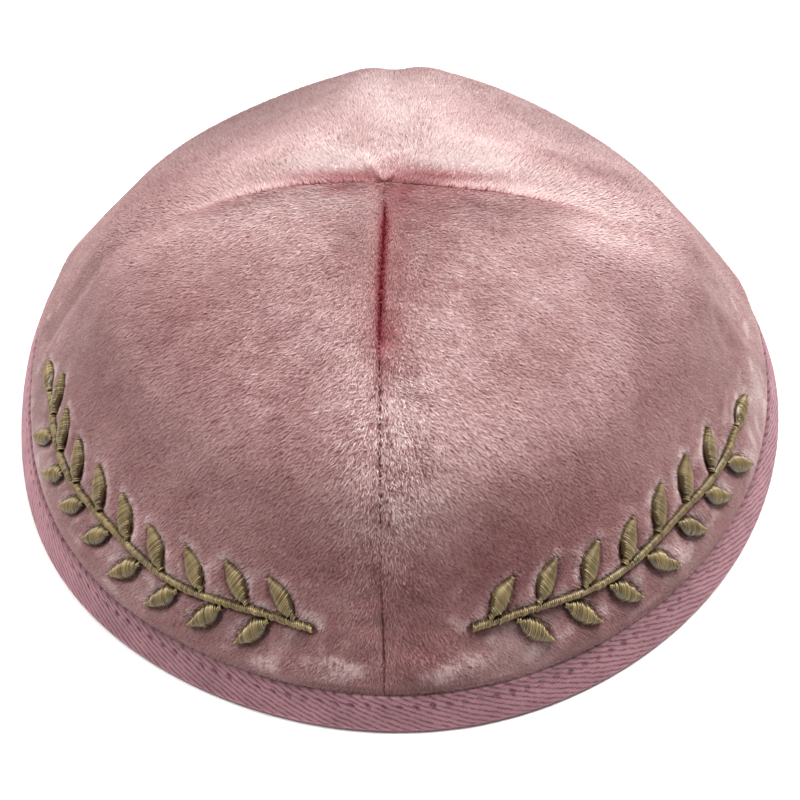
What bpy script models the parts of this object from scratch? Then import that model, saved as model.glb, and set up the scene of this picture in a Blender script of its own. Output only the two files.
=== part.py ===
# A four-panel velvet skullcap resting on its rim: front seam toward -Y, +Z up, origin under the
# middle of the rim. Sizes are in millimetres up to the last step, which makes metres of them.
#
# Every point is placed by three cloth measures: the angle round the cap, how far it lies up the
# gore from the rim, and how deep it lies below the outer surface. place() turns them into x, y, z.

from collections import namedtuple

import bmesh
import bpy
import numpy as np

MM = 0.001

# Driving sizes
RIM_RADIUS = 85.0        # outside of the binding where it meets the floor
PANELS = 4
SEAM_GAP = 0.3           # between neighbouring panels
APEX_SETBACK = 3.9       # the apex and the side seams sit this far toward +Y
SETBACK_MIDDLE = -8.0    # most of all here across the cap
SETBACK_WIDTH = 32.0     # less and less this far out to the sides
SETBACK_DEPTH = 55.0     # and this far forward and back
CLOTH = 2.2              # velvet: backing and pile
HEM_CLOTH = 1.6          # velvet pressed flat inside the binding
TAPE = 1.0               # binding tape
TAPE_HEIGHT = 8.2        # how far the tape climbs the wall, outside and inside
TAPE_ROUNDING = 0.4      # its folded top edges
FLOOR_ROUNDING = 0.8     # its bottom corners
CLEARANCE = 0.3          # between the tape and the cloth in it
BULGE = 0.4              # the pile swells by this much just above the tape
BULGE_TOP = 14.0         # and is level again this far above it
EDGE_ROLL = 1.3          # over this length the cloth comes out from under the tape

# How steeply a gore climbs, from the rim (0) to the apex (1)
Slope = namedtuple("Slope", "fraction degrees")
GORE_SLOPES = (
    Slope(0.00, 68.0),
    Slope(0.15, 57.7),
    Slope(0.38, 57.1),
    Slope(0.52, 30.7),
    Slope(0.70, 18.3),
    Slope(0.85, 5.0),
    Slope(1.00, 0.0),
)

# Shape of a level cut: exponent 2 is a circle, less draws the gores flat between the seams
Cut = namedtuple("Cut", "fraction exponent")
LEVEL_CUTS = (
    Cut(0.00, 2.04),
    Cut(0.20, 2.02),
    Cut(0.42, 1.74),
    Cut(0.60, 1.41),
    Cut(0.80, 1.60),
    Cut(1.00, 1.80),
)
SEAM_SOFTNESS = 0.1      # rounds the corners of the level cuts

# The rim isn't a true circle: waves round it, which die out toward the apex
Wave = namedtuple("Wave", "lobes cosine sine")
RIM_WAVES = (
    Wave(2, -0.20, 0.05),
    Wave(3, 0.25, 0.45),
    Wave(4, 0.48, -0.37),
    Wave(5, 0.65, 0.64),
    Wave(6, -0.48, 0.10),
)

# The valley along each seam
Valley = namedtuple("Valley", "fraction depth half_width")
SEAM_VALLEYS = (
    Valley(0.09, 0.0, 3.0),
    Valley(0.16, 0.4, 3.0),
    Valley(0.45, 0.7, 3.5),
    Valley(0.70, 1.3, 4.5),
    Valley(0.88, 2.0, 5.5),
    Valley(1.00, 2.2, 6.0),
)
CREST = 0.35             # the cloth puffs up beside a valley by this share of its depth
CREST_AT = 2.2           # this many half widths from the seam
VALLEY_MEETING = 5.0     # the higher, the sharper the valleys meet at the apex

# How far the front seam sits toward -X, from the rim (0) to the apex (1)
Drift = namedtuple("Drift", "fraction left")
FRONT_SEAM_DRIFTS = (
    Drift(0.00, 2.3),
    Drift(0.13, 2.1),
    Drift(0.27, 2.7),
    Drift(0.55, 2.8),
    Drift(0.65, 3.0),
    Drift(0.78, 2.7),
    Drift(0.90, 2.2),
    Drift(1.00, 2.4),
)

# Puckers above the binding, and two shallow folds at the sides
Pucker = namedtuple("Pucker", "degrees up half_across half_up rise")
PUCKERS = (
    Pucker(14, 14.0, 6.0, 4.0, 0.6),
    Pucker(38, 12.5, 7.0, 3.5, 0.5),
    Pucker(63, 14.0, 6.0, 4.0, 0.5),
    Pucker(96, 13.0, 7.0, 3.5, 0.5),
    Pucker(127, 13.5, 6.5, 4.0, 0.6),
    Pucker(158, 12.5, 6.0, 3.5, 0.5),
    Pucker(187, 44.0, 5.0, 12.0, -0.9),
    Pucker(199, 13.0, 6.0, 3.5, 0.5),
    Pucker(226, 12.5, 6.5, 3.5, 0.5),
    Pucker(255, 12.0, 5.0, 3.0, 0.7),
    Pucker(274, 14.0, 6.0, 3.0, 0.6),
    Pucker(297, 13.0, 6.0, 3.0, 0.5),
    Pucker(315, 15.0, 4.0, 3.5, 0.7),
    Pucker(337, 14.0, 5.0, 3.5, 0.6),
    Pucker(350, 22.0, 4.0, 5.0, 0.8),
    Pucker(353, 34.0, 3.5, 5.0, -0.8),
)

# Raised satin-stitch leaf branches on the two front panels
Branch = namedtuple("Branch", "name stem_degrees tip_degrees")
BRANCHES = (
    Branch("leaf_branch_left", 260.0, 187.0),
    Branch("leaf_branch_right", 282.5, 346.0),
)
BRANCH_UP = 20.8         # the stem's mean height up the gore
STEM_WIDTH = 1.3
STEM_WAVE = 0.7
LEAF_PITCH = 9.6
LEAF_LENGTH = 9.0
LEAF_WIDTH = 3.6
STALK_LENGTH = 1.3
STALK_WIDTH = 0.9
LEAF_LEAN = 48.0         # degrees between a leaf and its stem
LEAF_STEPS = 7
BRANCH_LIFT = 0.3        # clear of the velvet
BRANCH_THICKNESS = 0.7

# Facets
GORE_COLUMNS = 18
COLUMN_CROWDING = 0.65   # more columns near the seams
PROFILE_STEPS = 400
STEM_STEP = 2.4


def column(rows, name):
    return [getattr(row, name) for row in rows]


def smooth(t):
    t = np.clip(t, 0.0, 1.0)
    return t * t * (3.0 - 2.0 * t)


def gore_profile():
    """Radius and height along a gore; its length follows from the slopes and the rim's radius."""
    fraction = np.linspace(0.0, 1.0, PROFILE_STEPS + 1)
    slope = np.radians(np.interp(fraction, column(GORE_SLOPES, "fraction"), column(GORE_SLOPES, "degrees")))

    def running_sum(values):
        return np.concatenate([[0.0], np.cumsum((values[1:] + values[:-1]) / 2.0)]) / PROFILE_STEPS

    inward = running_sum(np.cos(slope))
    upward = running_sum(np.sin(slope))
    length = RIM_RADIUS / inward[-1]
    return fraction, slope, RIM_RADIUS - length * inward, length * upward, length


FRACTION, SLOPE, RADIUS, HEIGHT, GORE_LENGTH = gore_profile()


def level_cut(azimuth, fraction):
    """How far out a level cut lies at this azimuth; 1 at the seams."""
    exponent = np.interp(fraction, column(LEVEL_CUTS, "fraction"), column(LEVEL_CUTS, "exponent"))

    def reach(cosine, sine):
        c = np.hypot(cosine, SEAM_SOFTNESS)
        s = np.hypot(sine, SEAM_SOFTNESS)
        return (c ** exponent + s ** exponent) ** (-1.0 / exponent)

    return reach(np.cos(azimuth), np.sin(azimuth)) / reach(1.0, 0.0)


def rim_wave(azimuth, fraction):
    wave = 0.0
    for row in RIM_WAVES:
        wave = wave + row.cosine * np.cos(row.lobes * azimuth) + row.sine * np.sin(row.lobes * azimuth)
    return 1.0 + wave * (1.0 - fraction) / RIM_RADIUS


def seam_valley(angle, fraction):
    """Depth of the valley at this place; negative where the cloth puffs up beside it."""
    radius = np.interp(fraction, FRACTION, RADIUS)
    sine = np.maximum(np.abs(np.sin(angle)), 1e-4)
    cosine = np.maximum(np.abs(np.cos(angle)), 1e-4)
    from_seam = radius * (sine ** -VALLEY_MEETING + cosine ** -VALLEY_MEETING) ** (-1.0 / VALLEY_MEETING)
    fractions = column(SEAM_VALLEYS, "fraction")
    depth = np.interp(fraction, fractions, column(SEAM_VALLEYS, "depth"))
    width = np.interp(fraction, fractions, column(SEAM_VALLEYS, "half_width"))
    crest = CREST * np.exp(-((from_seam / width - CREST_AT) ** 2))
    return depth * (np.exp(-((from_seam / width) ** 2)) - crest)


def pucker_rise(azimuth, along):
    radius = np.interp(along / GORE_LENGTH, FRACTION, RADIUS)
    rise = 0.0
    for row in PUCKERS:
        turn = (azimuth - np.radians(row.degrees) + np.pi) % (2.0 * np.pi) - np.pi
        rise = rise + row.rise * np.exp(
            -((turn * radius / row.half_across) ** 2) - ((along - row.up) / row.half_up) ** 2
        )
    return rise


def seam_drift(across, ahead):
    """Moves the seams over the unchanged dome. The plan is a disc of radius 1 with the apex in its middle."""
    out = np.hypot(across, ahead)
    front = 1.0 - smooth(ahead / 0.6)
    left = np.interp(1.0 - out, column(FRONT_SEAM_DRIFTS, "fraction"), column(FRONT_SEAM_DRIFTS, "left"))
    shift = -left / (GORE_LENGTH + (RIM_RADIUS - GORE_LENGTH) * out ** 2) * front
    aside = (across * GORE_LENGTH - SETBACK_MIDDLE) / SETBACK_WIDTH
    away = ahead * GORE_LENGTH / SETBACK_DEPTH
    back = APEX_SETBACK / GORE_LENGTH * (1.0 - out ** 2) * np.exp(-(aside ** 2) - away ** 2)
    return across + shift - shift * across ** 2, ahead - shift * across * ahead + back


def place(angle, along, depth, relief=1.0):
    """x, y, z of a point at this angle (radians), this far up the gore and this deep in the cloth."""
    angle = np.asarray(angle, float)
    out = 1.0 - np.asarray(along, float) / GORE_LENGTH
    across, ahead = seam_drift(out * np.cos(angle), out * np.sin(angle))
    azimuth = np.arctan2(ahead, across)
    fraction = np.clip(1.0 - np.hypot(across, ahead), 0.0, 1.0)
    slope = np.interp(fraction, FRACTION, SLOPE)
    deep = depth + relief * (seam_valley(angle, fraction) - pucker_rise(azimuth, fraction * GORE_LENGTH))
    radius = np.interp(fraction, FRACTION, RADIUS) - deep * np.sin(slope)
    radius = radius * level_cut(azimuth, fraction) * rim_wave(azimuth, fraction)
    height = np.interp(fraction, FRACTION, HEIGHT) - deep * np.cos(slope)
    return np.stack([radius * np.cos(azimuth), radius * np.sin(azimuth), height], axis=-1)


def along_at(height, depth):
    """How far up the gore a point at this small height lies, at this depth in the wall."""
    rim_slope = np.radians(GORE_SLOPES[0].degrees)
    return (height + depth * np.cos(rim_slope)) / np.sin(rim_slope)


def gore_angles():
    """Angles across one panel, from seam to seam, crowded near the seams."""
    t = np.linspace(0.0, 1.0, GORE_COLUMNS + 1)
    return (t - COLUMN_CROWDING * np.sin(2.0 * np.pi * t) / (2.0 * np.pi)) * 2.0 * np.pi / PANELS


def rim_centre():
    """Middle of the rim's box, which becomes the origin."""
    ring = place(np.linspace(0.0, 2.0 * np.pi, 721), 0.0, 0.0, relief=0.0)
    return (ring.min(axis=0) + ring.max(axis=0)) / 2.0 * (1.0, 1.0, 0.0)


def material(name, colour, roughness, sheen):
    made = bpy.data.materials.new(name)
    made.use_nodes = True
    shader = made.node_tree.nodes["Principled BSDF"]
    shader.inputs["Base Color"].default_value = (*colour, 1.0)
    shader.inputs["Roughness"].default_value = roughness
    shader.inputs["Metallic"].default_value = 0.0
    shader.inputs["Sheen Weight"].default_value = sheen
    made.diffuse_color = (*colour, 1.0)
    return made


def add_object(name, mesh_edit, made_of, smooth_below=50.0):
    """Closes the edit: metres, origin under the rim's middle, faces pointing out."""
    for vertex in mesh_edit.verts:
        vertex.co = [float(c) * MM for c in np.array(vertex.co) - rim_centre()]
    bmesh.ops.recalc_face_normals(mesh_edit, faces=mesh_edit.faces[:])
    if mesh_edit.calc_volume(signed=True) < 0.0:
        bmesh.ops.reverse_faces(mesh_edit, faces=mesh_edit.faces[:])
    mesh = bpy.data.meshes.new(name)
    mesh_edit.to_mesh(mesh)
    mesh_edit.free()
    mesh.materials.append(made_of)
    mesh.shade_smooth()
    mesh.set_sharp_from_angle(angle=np.radians(smooth_below))
    made = bpy.data.objects.new(name, mesh)
    bpy.context.scene.collection.objects.link(made)
    return made


def loft(sections, closed):
    """Skins a row of equal rings of points; an open loft has its ends capped with strips."""
    edit = bmesh.new()
    rings = [[edit.verts.new(point) for point in section] for section in sections]
    count = len(rings[0])
    pairs = list(zip(rings, rings[1:]))
    if closed:
        pairs.append((rings[-1], rings[0]))
    for lower, upper in pairs:
        for k in range(count):
            n = (k + 1) % count
            edit.faces.new((lower[k], lower[n], upper[n], upper[k]))
    if not closed:
        for end in (rings[0], rings[-1]):
            for k in range(count // 2 - 1):
                edit.faces.new((end[k], end[k + 1], end[count - 2 - k], end[count - 1 - k]))
    bmesh.ops.remove_doubles(edit, verts=edit.verts[:], dist=1e-5)
    return edit


def outer_depth(along):
    """The panel's face: flat under the tape, then out to a soft bulge that dies away upward."""
    under_tape = TAPE + CLEARANCE
    roll = smooth((along - TAPE_HEIGHT - CLEARANCE) / EDGE_ROLL)
    above = np.clip((along - TAPE_HEIGHT) / BULGE_TOP, 0.0, 1.0)
    return under_tape * (1.0 - roll) - BULGE * roll * np.sin(np.pi * above ** 0.6)


def inner_depth(along):
    """The panel's lining side."""
    in_tape = TAPE + CLEARANCE + HEM_CLOTH
    return in_tape + (CLOTH - in_tape) * smooth((along - TAPE_HEIGHT - CLEARANCE) / BULGE_TOP)


def gore_rows():
    """Heights of the rows up a gore, close together where the cloth leaves the tape."""
    roll = TAPE_HEIGHT + CLEARANCE
    edge = [4.6, roll, roll + 0.45 * EDGE_ROLL, roll + EDGE_ROLL, roll + 3.0, roll + 6.0]
    rest = np.linspace(roll + 9.5, GORE_LENGTH - 2.5, 16)
    return np.concatenate([edge, rest])


def crown_panel(name, first_angle, made_of):
    """One gore, from its hem inside the binding up to the apex, set back from both seams."""
    set_back = SEAM_GAP / 2.0 / RIM_RADIUS
    hem = TAPE + CLEARANCE
    angles = gore_angles()
    sections = []
    for along in [None, *gore_rows(), GORE_LENGTH]:
        ring = []
        for side in (outer_depth, inner_depth):
            depth = side(0.0 if along is None else along)
            up = along_at(hem, depth) if along is None else along
            out = 1.0 - up / GORE_LENGTH
            angle = np.arctan2(out * np.sin(angles) + set_back, out * np.cos(angles) + set_back)
            up = GORE_LENGTH * (1.0 - np.hypot(out, set_back * np.sqrt(2.0) * (1.0 - out)))
            row = place(angle + first_angle, up, depth)
            ring.append(row if side is outer_depth else row[::-1])
        sections.append(np.concatenate(ring))
    return add_object(name, loft(sections, closed=False), made_of)


def tape_section():
    """(up the wall, depth, height if fixed) round the folded tape, from its outer top edge."""
    wall = 2.0 * TAPE + 2.0 * CLEARANCE + HEM_CLOTH
    inner = wall - TAPE
    top = TAPE_HEIGHT
    soft = TAPE_ROUNDING
    corner = FLOOR_ROUNDING
    return [
        (top, soft, None),
        (top - soft, 0.0, None),
        (top / 2.0, 0.0, None),
        (corner, 0.0, None),
        (0.3 * corner, 0.3 * corner, None),
        (0.0, corner, 0.0),
        (0.0, wall - corner, 0.0),
        (along_at(0.3 * corner, wall), wall - 0.3 * corner, None),
        (along_at(corner, wall), wall, None),
        (top - soft, wall, None),
        (top, wall - soft, None),
        (top, inner + 0.2 * TAPE, None),
        (top - soft, inner, None),
        (along_at(TAPE, inner), inner, None),
        (along_at(TAPE, TAPE), TAPE, None),
        (top - soft, TAPE, None),
        (top, TAPE - 0.2 * TAPE, None),
    ]


def rim_binding(made_of):
    """Twill tape folded over the edge of the panels, flat where it rests."""
    sections = []
    turns = [gore_angles()[:-1] + k * 2.0 * np.pi / PANELS for k in range(PANELS)]
    for angle in np.concatenate(turns):
        ring = []
        for along, depth, height in tape_section():
            point = place(angle, along_at(0.0, depth) if height is not None else along, depth, relief=0.0)
            if height is not None:
                point[2] = height
            ring.append(point)
        sections.append(ring)
    return add_object("rim_binding", loft(sections, closed=True), made_of)


def leaf_half_width():
    """Distance from a leaf's stalk end, and half its width there."""
    along = np.linspace(STALK_LENGTH, LEAF_LENGTH, LEAF_STEPS)
    blade = (along - STALK_LENGTH) / (LEAF_LENGTH - STALK_LENGTH)
    half = LEAF_WIDTH / 2.0 * np.sin(np.pi * blade ** 0.8) + STALK_WIDTH / 2.0 * (1.0 - blade) ** 3
    return along, half


def leaf_outline(base, edge, lean):
    """Flat outline of one leaf, standing on the stem's edge; lean is +1 above the stem, -1 below."""
    turn = np.radians(LEAF_LEAN) * lean
    axis = np.array([np.cos(turn), np.sin(turn)])
    side = np.array([-axis[1], axis[0]]) * lean
    along, half = leaf_half_width()
    middle = np.array([base, edge]) + np.outer(along, axis)
    near = middle + half[:, None] * side
    far = middle - half[:, None] * side
    foot = STALK_WIDTH / 2.0
    return [(base - foot, edge), *near, *far[-2::-1], (base + foot, edge)]


def branch_outline(length):
    """Flat outline of stem and leaves as one closed line: (along the stem, up from its middle)."""
    def stem_edge(x, side):
        return STEM_WAVE * np.sin(2.0 * np.pi * x / (4.0 * LEAF_PITCH)) + side * STEM_WIDTH / 2.0

    def walk(side, first):
        points = []
        x = 0.0
        bases = list(np.arange(first, length - 0.5 * LEAF_PITCH, LEAF_PITCH))
        while x < length:
            if bases and x + 0.6 * STEM_STEP > bases[0] - STALK_WIDTH / 2.0:
                base = bases.pop(0)
                points.extend(leaf_outline(base, stem_edge(base, side), side))
                x = base + STALK_WIDTH / 2.0 + STEM_STEP
            else:
                points.append((x, stem_edge(x, side)))
                x += STEM_STEP
        return points

    upper = walk(1, 0.35 * LEAF_PITCH)
    lower = walk(-1, 0.85 * LEAF_PITCH)
    along, half = leaf_half_width()
    middle = stem_edge(length, 0)
    tip = [(length + a, middle + b) for a, b in zip(along, half)]
    back = [(length + a, middle - b) for a, b in zip(along[:-1], half[:-1])]
    return upper + tip + back[::-1] + lower[::-1]


def leaf_branch(row, made_of):
    """A flat branch is cut out, thickened, and laid over its panel."""
    radius = float(np.interp(BRANCH_UP / GORE_LENGTH, FRACTION, RADIUS))
    turn = np.radians(row.tip_degrees - row.stem_degrees)
    heading = np.sign(turn)
    length = abs(turn) * radius - LEAF_LENGTH
    edit = bmesh.new()
    outline = [edit.verts.new((x, y, 0.0)) for x, y in branch_outline(length)]
    face = edit.faces.new(outline)
    raised = bmesh.ops.extrude_face_region(edit, geom=[face])
    for item in raised["geom"]:
        if isinstance(item, bmesh.types.BMVert):
            item.co.z = 1.0
    flat = [f for f in edit.faces if len(f.verts) > 4]
    bmesh.ops.triangulate(edit, faces=flat, ngon_method="BEAUTY")
    for vertex in edit.verts:
        angle = np.radians(row.stem_degrees) + heading * vertex.co.x / radius
        depth = -BRANCH_LIFT - BRANCH_THICKNESS * vertex.co.z + float(outer_depth(BRANCH_UP + vertex.co.y))
        vertex.co = place(angle, BRANCH_UP + vertex.co.y, depth)
    return add_object(row.name, edit, made_of, smooth_below=40.0)


def build():
    for old in list(bpy.data.objects):
        bpy.data.objects.remove(old)
    velvet = material("rose_velvet", (0.515, 0.262, 0.283), 0.85, 0.6)
    twill = material("mauve_twill", (0.376, 0.156, 0.223), 0.8, 0.1)
    gold = material("gold_thread", (0.262, 0.205, 0.061), 0.45, 0.0)
    quarter = 2.0 * np.pi / PANELS
    for k, place_name in enumerate(("back_right", "back_left", "front_left", "front_right")):
        crown_panel("crown_panel_" + place_name, k * quarter, velvet)
    rim_binding(twill)
    for row in BRANCHES:
        leaf_branch(row, gold)


build()
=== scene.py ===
import math

import bpy
import numpy as np
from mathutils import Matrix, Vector


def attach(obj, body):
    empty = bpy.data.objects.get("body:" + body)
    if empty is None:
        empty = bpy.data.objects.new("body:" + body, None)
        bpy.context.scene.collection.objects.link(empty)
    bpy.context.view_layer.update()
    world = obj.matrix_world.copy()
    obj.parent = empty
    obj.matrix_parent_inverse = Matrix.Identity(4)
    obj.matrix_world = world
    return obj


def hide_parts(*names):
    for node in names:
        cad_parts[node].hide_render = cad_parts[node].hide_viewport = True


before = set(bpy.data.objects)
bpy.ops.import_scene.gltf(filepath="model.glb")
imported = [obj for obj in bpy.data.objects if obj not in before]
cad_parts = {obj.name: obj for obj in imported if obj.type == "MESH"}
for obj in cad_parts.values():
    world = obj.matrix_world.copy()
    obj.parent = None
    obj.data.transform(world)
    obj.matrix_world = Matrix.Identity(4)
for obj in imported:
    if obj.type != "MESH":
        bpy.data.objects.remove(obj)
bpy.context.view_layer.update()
scene = bpy.context.scene
rng = np.random.default_rng(41)


# camera and light: change these to frame or relight the shot

view = {
    "lens": 67.1,
    "distance": 0.340,
    "elevation": 50.4,
    "aim": (0.0, -0.0002, -0.0053),
}

light = {
    "world": (0.97, 0.97, 1.0, 0.14),
    "size": 0.5,
    "rightPower": 12.0,
    "rightPlace": (0.30, 0.30, 0.74),
    "leftPower": 7.0,
    "leftPlace": (-0.42, 0.12, 0.74),
}


def addCamera():
    cameraData = bpy.data.cameras.new("camera")
    cameraData.lens = view["lens"]
    cameraData.sensor_width = 36.0
    cameraData.clip_start = 0.01
    camera = bpy.data.objects.new("camera", cameraData)
    tilt = math.radians(view["elevation"])
    aim = Vector(view["aim"])
    camera.location = aim + Vector((0.0, -math.cos(tilt), math.sin(tilt))) * view["distance"]
    camera.rotation_euler = (math.radians(90.0) - tilt, 0.0, 0.0)
    scene.collection.objects.link(camera)
    scene.camera = camera


def addAreaLight(name, place, size, power, aim=(0.0, 0.0, 0.03), colour=(1.0, 1.0, 1.0)):
    lamp = bpy.data.lights.new(name, "AREA")
    lamp.shape = "DISK"
    lamp.size = size
    lamp.energy = power
    lamp.color = colour
    holder = bpy.data.objects.new(name, lamp)
    holder.location = place
    holder.rotation_euler = (Vector(place) - Vector(aim)).to_track_quat("Z", "Y").to_euler()
    scene.collection.objects.link(holder)


addCamera()
addAreaLight("rightLight", light["rightPlace"], light["size"], light["rightPower"])
addAreaLight("leftLight", light["leftPlace"], light["size"], light["leftPower"])
world = bpy.data.worlds.new("studio")
world.use_nodes = True
world.node_tree.nodes["Background"].inputs["Color"].default_value = (*light["world"][:3], 1.0)
world.node_tree.nodes["Background"].inputs["Strength"].default_value = light["world"][3]
scene.world = world
scene.view_settings.view_transform = "Standard"
print("camera and lights")


# the cap's shape: the same gore, level cuts, waves, valleys and puckers as its solids, in mm

mm = 0.001
rimRadius = 85.0
apexSetback = 3.9
setbackMiddle = -8.0
setbackWidth = 32.0
setbackDepth = 55.0
clothThickness = 2.2
tapeThickness = 1.0
tapeHeight = 8.2
clearance = 0.3
bulge = 0.4
bulgeTop = 14.0
edgeRoll = 1.3
hemCloth = 1.6

# fraction up the gore, slope in degrees
goreSlopes = np.array([
    (0.00, 68.0), (0.15, 57.7), (0.38, 57.1), (0.52, 30.7), (0.70, 18.3), (0.85, 5.0), (1.00, 0.0),
])
# fraction, exponent of the level cut
levelCuts = np.array([
    (0.00, 2.04), (0.20, 2.02), (0.42, 1.74), (0.60, 1.41), (0.80, 1.60), (1.00, 1.80),
])
# lobes, cosine mm, sine mm
rimWaves = [(2, -0.20, 0.05), (3, 0.25, 0.45), (4, 0.48, -0.37), (5, 0.65, 0.64), (6, -0.48, 0.10)]
# fraction, depth mm, half width mm
seamValleys = np.array([
    (0.09, 0.0, 3.0), (0.16, 0.4, 3.0), (0.45, 0.7, 3.5), (0.70, 1.3, 4.5), (0.88, 2.0, 5.5), (1.00, 2.2, 6.0),
])
# fraction, how far the front seam sits toward -X in mm
frontSeamDrifts = np.array([
    (0.00, 2.3), (0.13, 2.1), (0.27, 2.7), (0.55, 2.8), (0.65, 3.0), (0.78, 2.7), (0.90, 2.2), (1.00, 2.4),
])
# degrees, mm up, half across, half up, rise mm
puckers = [
    (14, 14.0, 6.0, 4.0, 0.6), (38, 12.5, 7.0, 3.5, 0.5), (63, 14.0, 6.0, 4.0, 0.5), (96, 13.0, 7.0, 3.5, 0.5),
    (127, 13.5, 6.5, 4.0, 0.6), (158, 12.5, 6.0, 3.5, 0.5), (187, 44.0, 5.0, 12.0, -0.9),
    (199, 13.0, 6.0, 3.5, 0.5), (226, 12.5, 6.5, 3.5, 0.5), (255, 12.0, 5.0, 3.0, 0.7),
    (274, 14.0, 6.0, 3.0, 0.6), (297, 13.0, 6.0, 3.0, 0.5), (315, 15.0, 4.0, 3.5, 0.7),
    (337, 14.0, 5.0, 3.5, 0.6), (350, 22.0, 4.0, 5.0, 0.8), (353, 34.0, 3.5, 5.0, -0.8),
]


def smooth(t):
    t = np.clip(t, 0.0, 1.0)
    return t * t * (3.0 - 2.0 * t)


def goreProfile(steps=400):
    fraction = np.linspace(0.0, 1.0, steps + 1)
    slope = np.radians(np.interp(fraction, goreSlopes[:, 0], goreSlopes[:, 1]))
    inward = np.concatenate([[0.0], np.cumsum((np.cos(slope[1:]) + np.cos(slope[:-1])) / 2.0)]) / steps
    upward = np.concatenate([[0.0], np.cumsum((np.sin(slope[1:]) + np.sin(slope[:-1])) / 2.0)]) / steps
    length = rimRadius / inward[-1]
    return fraction, slope, rimRadius - length * inward, length * upward, length


profileFraction, profileSlope, profileRadius, profileHeight, goreLength = goreProfile()


def levelCut(azimuth, fraction):
    exponent = np.interp(fraction, levelCuts[:, 0], levelCuts[:, 1])

    def reach(cosine, sine):
        c = np.hypot(cosine, 0.1)
        s = np.hypot(sine, 0.1)
        return (c ** exponent + s ** exponent) ** (-1.0 / exponent)

    return reach(np.cos(azimuth), np.sin(azimuth)) / reach(1.0, 0.0)


def rimWave(azimuth, fraction):
    wave = sum(c * np.cos(n * azimuth) + s * np.sin(n * azimuth) for n, c, s in rimWaves)
    return 1.0 + wave * (1.0 - fraction) / rimRadius


def fromSeam(angle, fraction):
    radius = np.interp(fraction, profileFraction, profileRadius)
    sine = np.maximum(np.abs(np.sin(angle)), 1e-4)
    cosine = np.maximum(np.abs(np.cos(angle)), 1e-4)
    return radius * (sine ** -5.0 + cosine ** -5.0) ** -0.2


def seamValley(angle, fraction):
    depth = np.interp(fraction, seamValleys[:, 0], seamValleys[:, 1])
    width = np.interp(fraction, seamValleys[:, 0], seamValleys[:, 2])
    off = fromSeam(angle, fraction) / width
    return depth * (np.exp(-(off ** 2)) - 0.35 * np.exp(-((off - 2.2) ** 2)))


# Soft round patches added up; each row is degrees, mm up, half across, half up, amount.
def patches(azimuth, up, rows):
    radius = np.interp(up / goreLength, profileFraction, profileRadius)
    total = np.zeros_like(azimuth + up)
    for degrees, height, across, along, amount in rows:
        turn = (azimuth - math.radians(degrees) + math.pi) % (2.0 * math.pi) - math.pi
        total += amount * np.exp(-((turn * radius / across) ** 2) - ((up - height) / along) ** 2)
    return total


# How far the seams' own plan is pushed toward +Y here, in mm.
def setBack(across, ahead):
    aside = (across * goreLength - setbackMiddle) / setbackWidth
    away = ahead * goreLength / setbackDepth
    return apexSetback * (1.0 - across ** 2 - ahead ** 2) * np.exp(-(aside ** 2) - away ** 2)


def driftSeam(across, ahead):
    out = np.hypot(across, ahead)
    front = 1.0 - smooth(ahead / 0.6)
    left = np.interp(1.0 - out, frontSeamDrifts[:, 0], frontSeamDrifts[:, 1])
    shift = -left / (goreLength + (rimRadius - goreLength) * out ** 2) * front
    back = setBack(across, ahead) / goreLength
    return across + shift - shift * across ** 2, ahead - shift * across * ahead + back


# Where on the unchanged dome a panel's own angle and height lie: azimuth and mm up the gore.
def domeCoordinates(angle, up):
    out = 1.0 - up / goreLength
    across, ahead = driftSeam(out * np.cos(angle), out * np.sin(angle))
    fraction = np.clip(1.0 - np.hypot(across, ahead), 0.0, 1.0)
    return np.arctan2(ahead, across), fraction * goreLength


# Point in mm at this angle round the cap, this far up the gore and this deep in the cloth.
def place(angle, up, depth, relief=1.0, centred=True):
    angle = np.asarray(angle, float)
    azimuth, high = domeCoordinates(angle, np.asarray(up, float))
    fraction = high / goreLength
    slope = np.interp(fraction, profileFraction, profileSlope)
    deep = depth + relief * (seamValley(angle, fraction) - patches(azimuth, high, puckers))
    radius = np.interp(fraction, profileFraction, profileRadius) - deep * np.sin(slope)
    radius = radius * levelCut(azimuth, fraction) * rimWave(azimuth, fraction)
    height = np.interp(fraction, profileFraction, profileHeight) - deep * np.cos(slope)
    point = np.stack([radius * np.cos(azimuth), radius * np.sin(azimuth), height], axis=-1)
    return point - rimCentre if centred else point


rimRing = place(np.linspace(0.0, 2.0 * math.pi, 721), 0.0, 0.0, relief=0.0, centred=False)
rimCentre = (rimRing.min(axis=0) + rimRing.max(axis=0)) / 2.0 * (1.0, 1.0, 0.0)


def unit(vectors):
    return vectors / np.maximum(np.linalg.norm(vectors, axis=-1, keepdims=True), 1e-9)


# Point, direction round the cap, direction up the gore and outward normal.
def localFrame(angle, up, depth=0.0):
    here = place(angle, up, depth)
    stepUp = np.where(up > goreLength - 1.0, -0.4, 0.4)
    turn = 0.4 / np.maximum(np.interp(up / goreLength, profileFraction, profileRadius), 2.0)
    around = unit(place(angle + turn, up, depth) - here)
    upward = unit((place(angle, up + stepUp, depth) - here) * np.sign(stepUp)[..., None])
    normal = unit(np.cross(around, upward))
    return here, around, upward, normal


def outerDepth(up):
    roll = smooth((up - tapeHeight - clearance) / edgeRoll)
    above = np.clip((up - tapeHeight) / bulgeTop, 0.0, 1.0)
    return (tapeThickness + clearance) * (1.0 - roll) - bulge * roll * np.sin(math.pi * above ** 0.6)


# Smooth random field, about -1 to 1, with lumps of this size in mm.
def softNoise(points, scale, seed, count=28):
    waves = np.random.default_rng(seed)
    direction = unit(waves.normal(size=(count, 3)))
    pitch = 2.0 * math.pi / (scale * waves.uniform(1.4, 3.4, count))
    phase = waves.uniform(0.0, 2.0 * math.pi, count)
    return np.cos(points @ (direction * pitch[:, None]).T + phase).sum(axis=-1) * math.sqrt(2.0 / count) / 1.6


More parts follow.
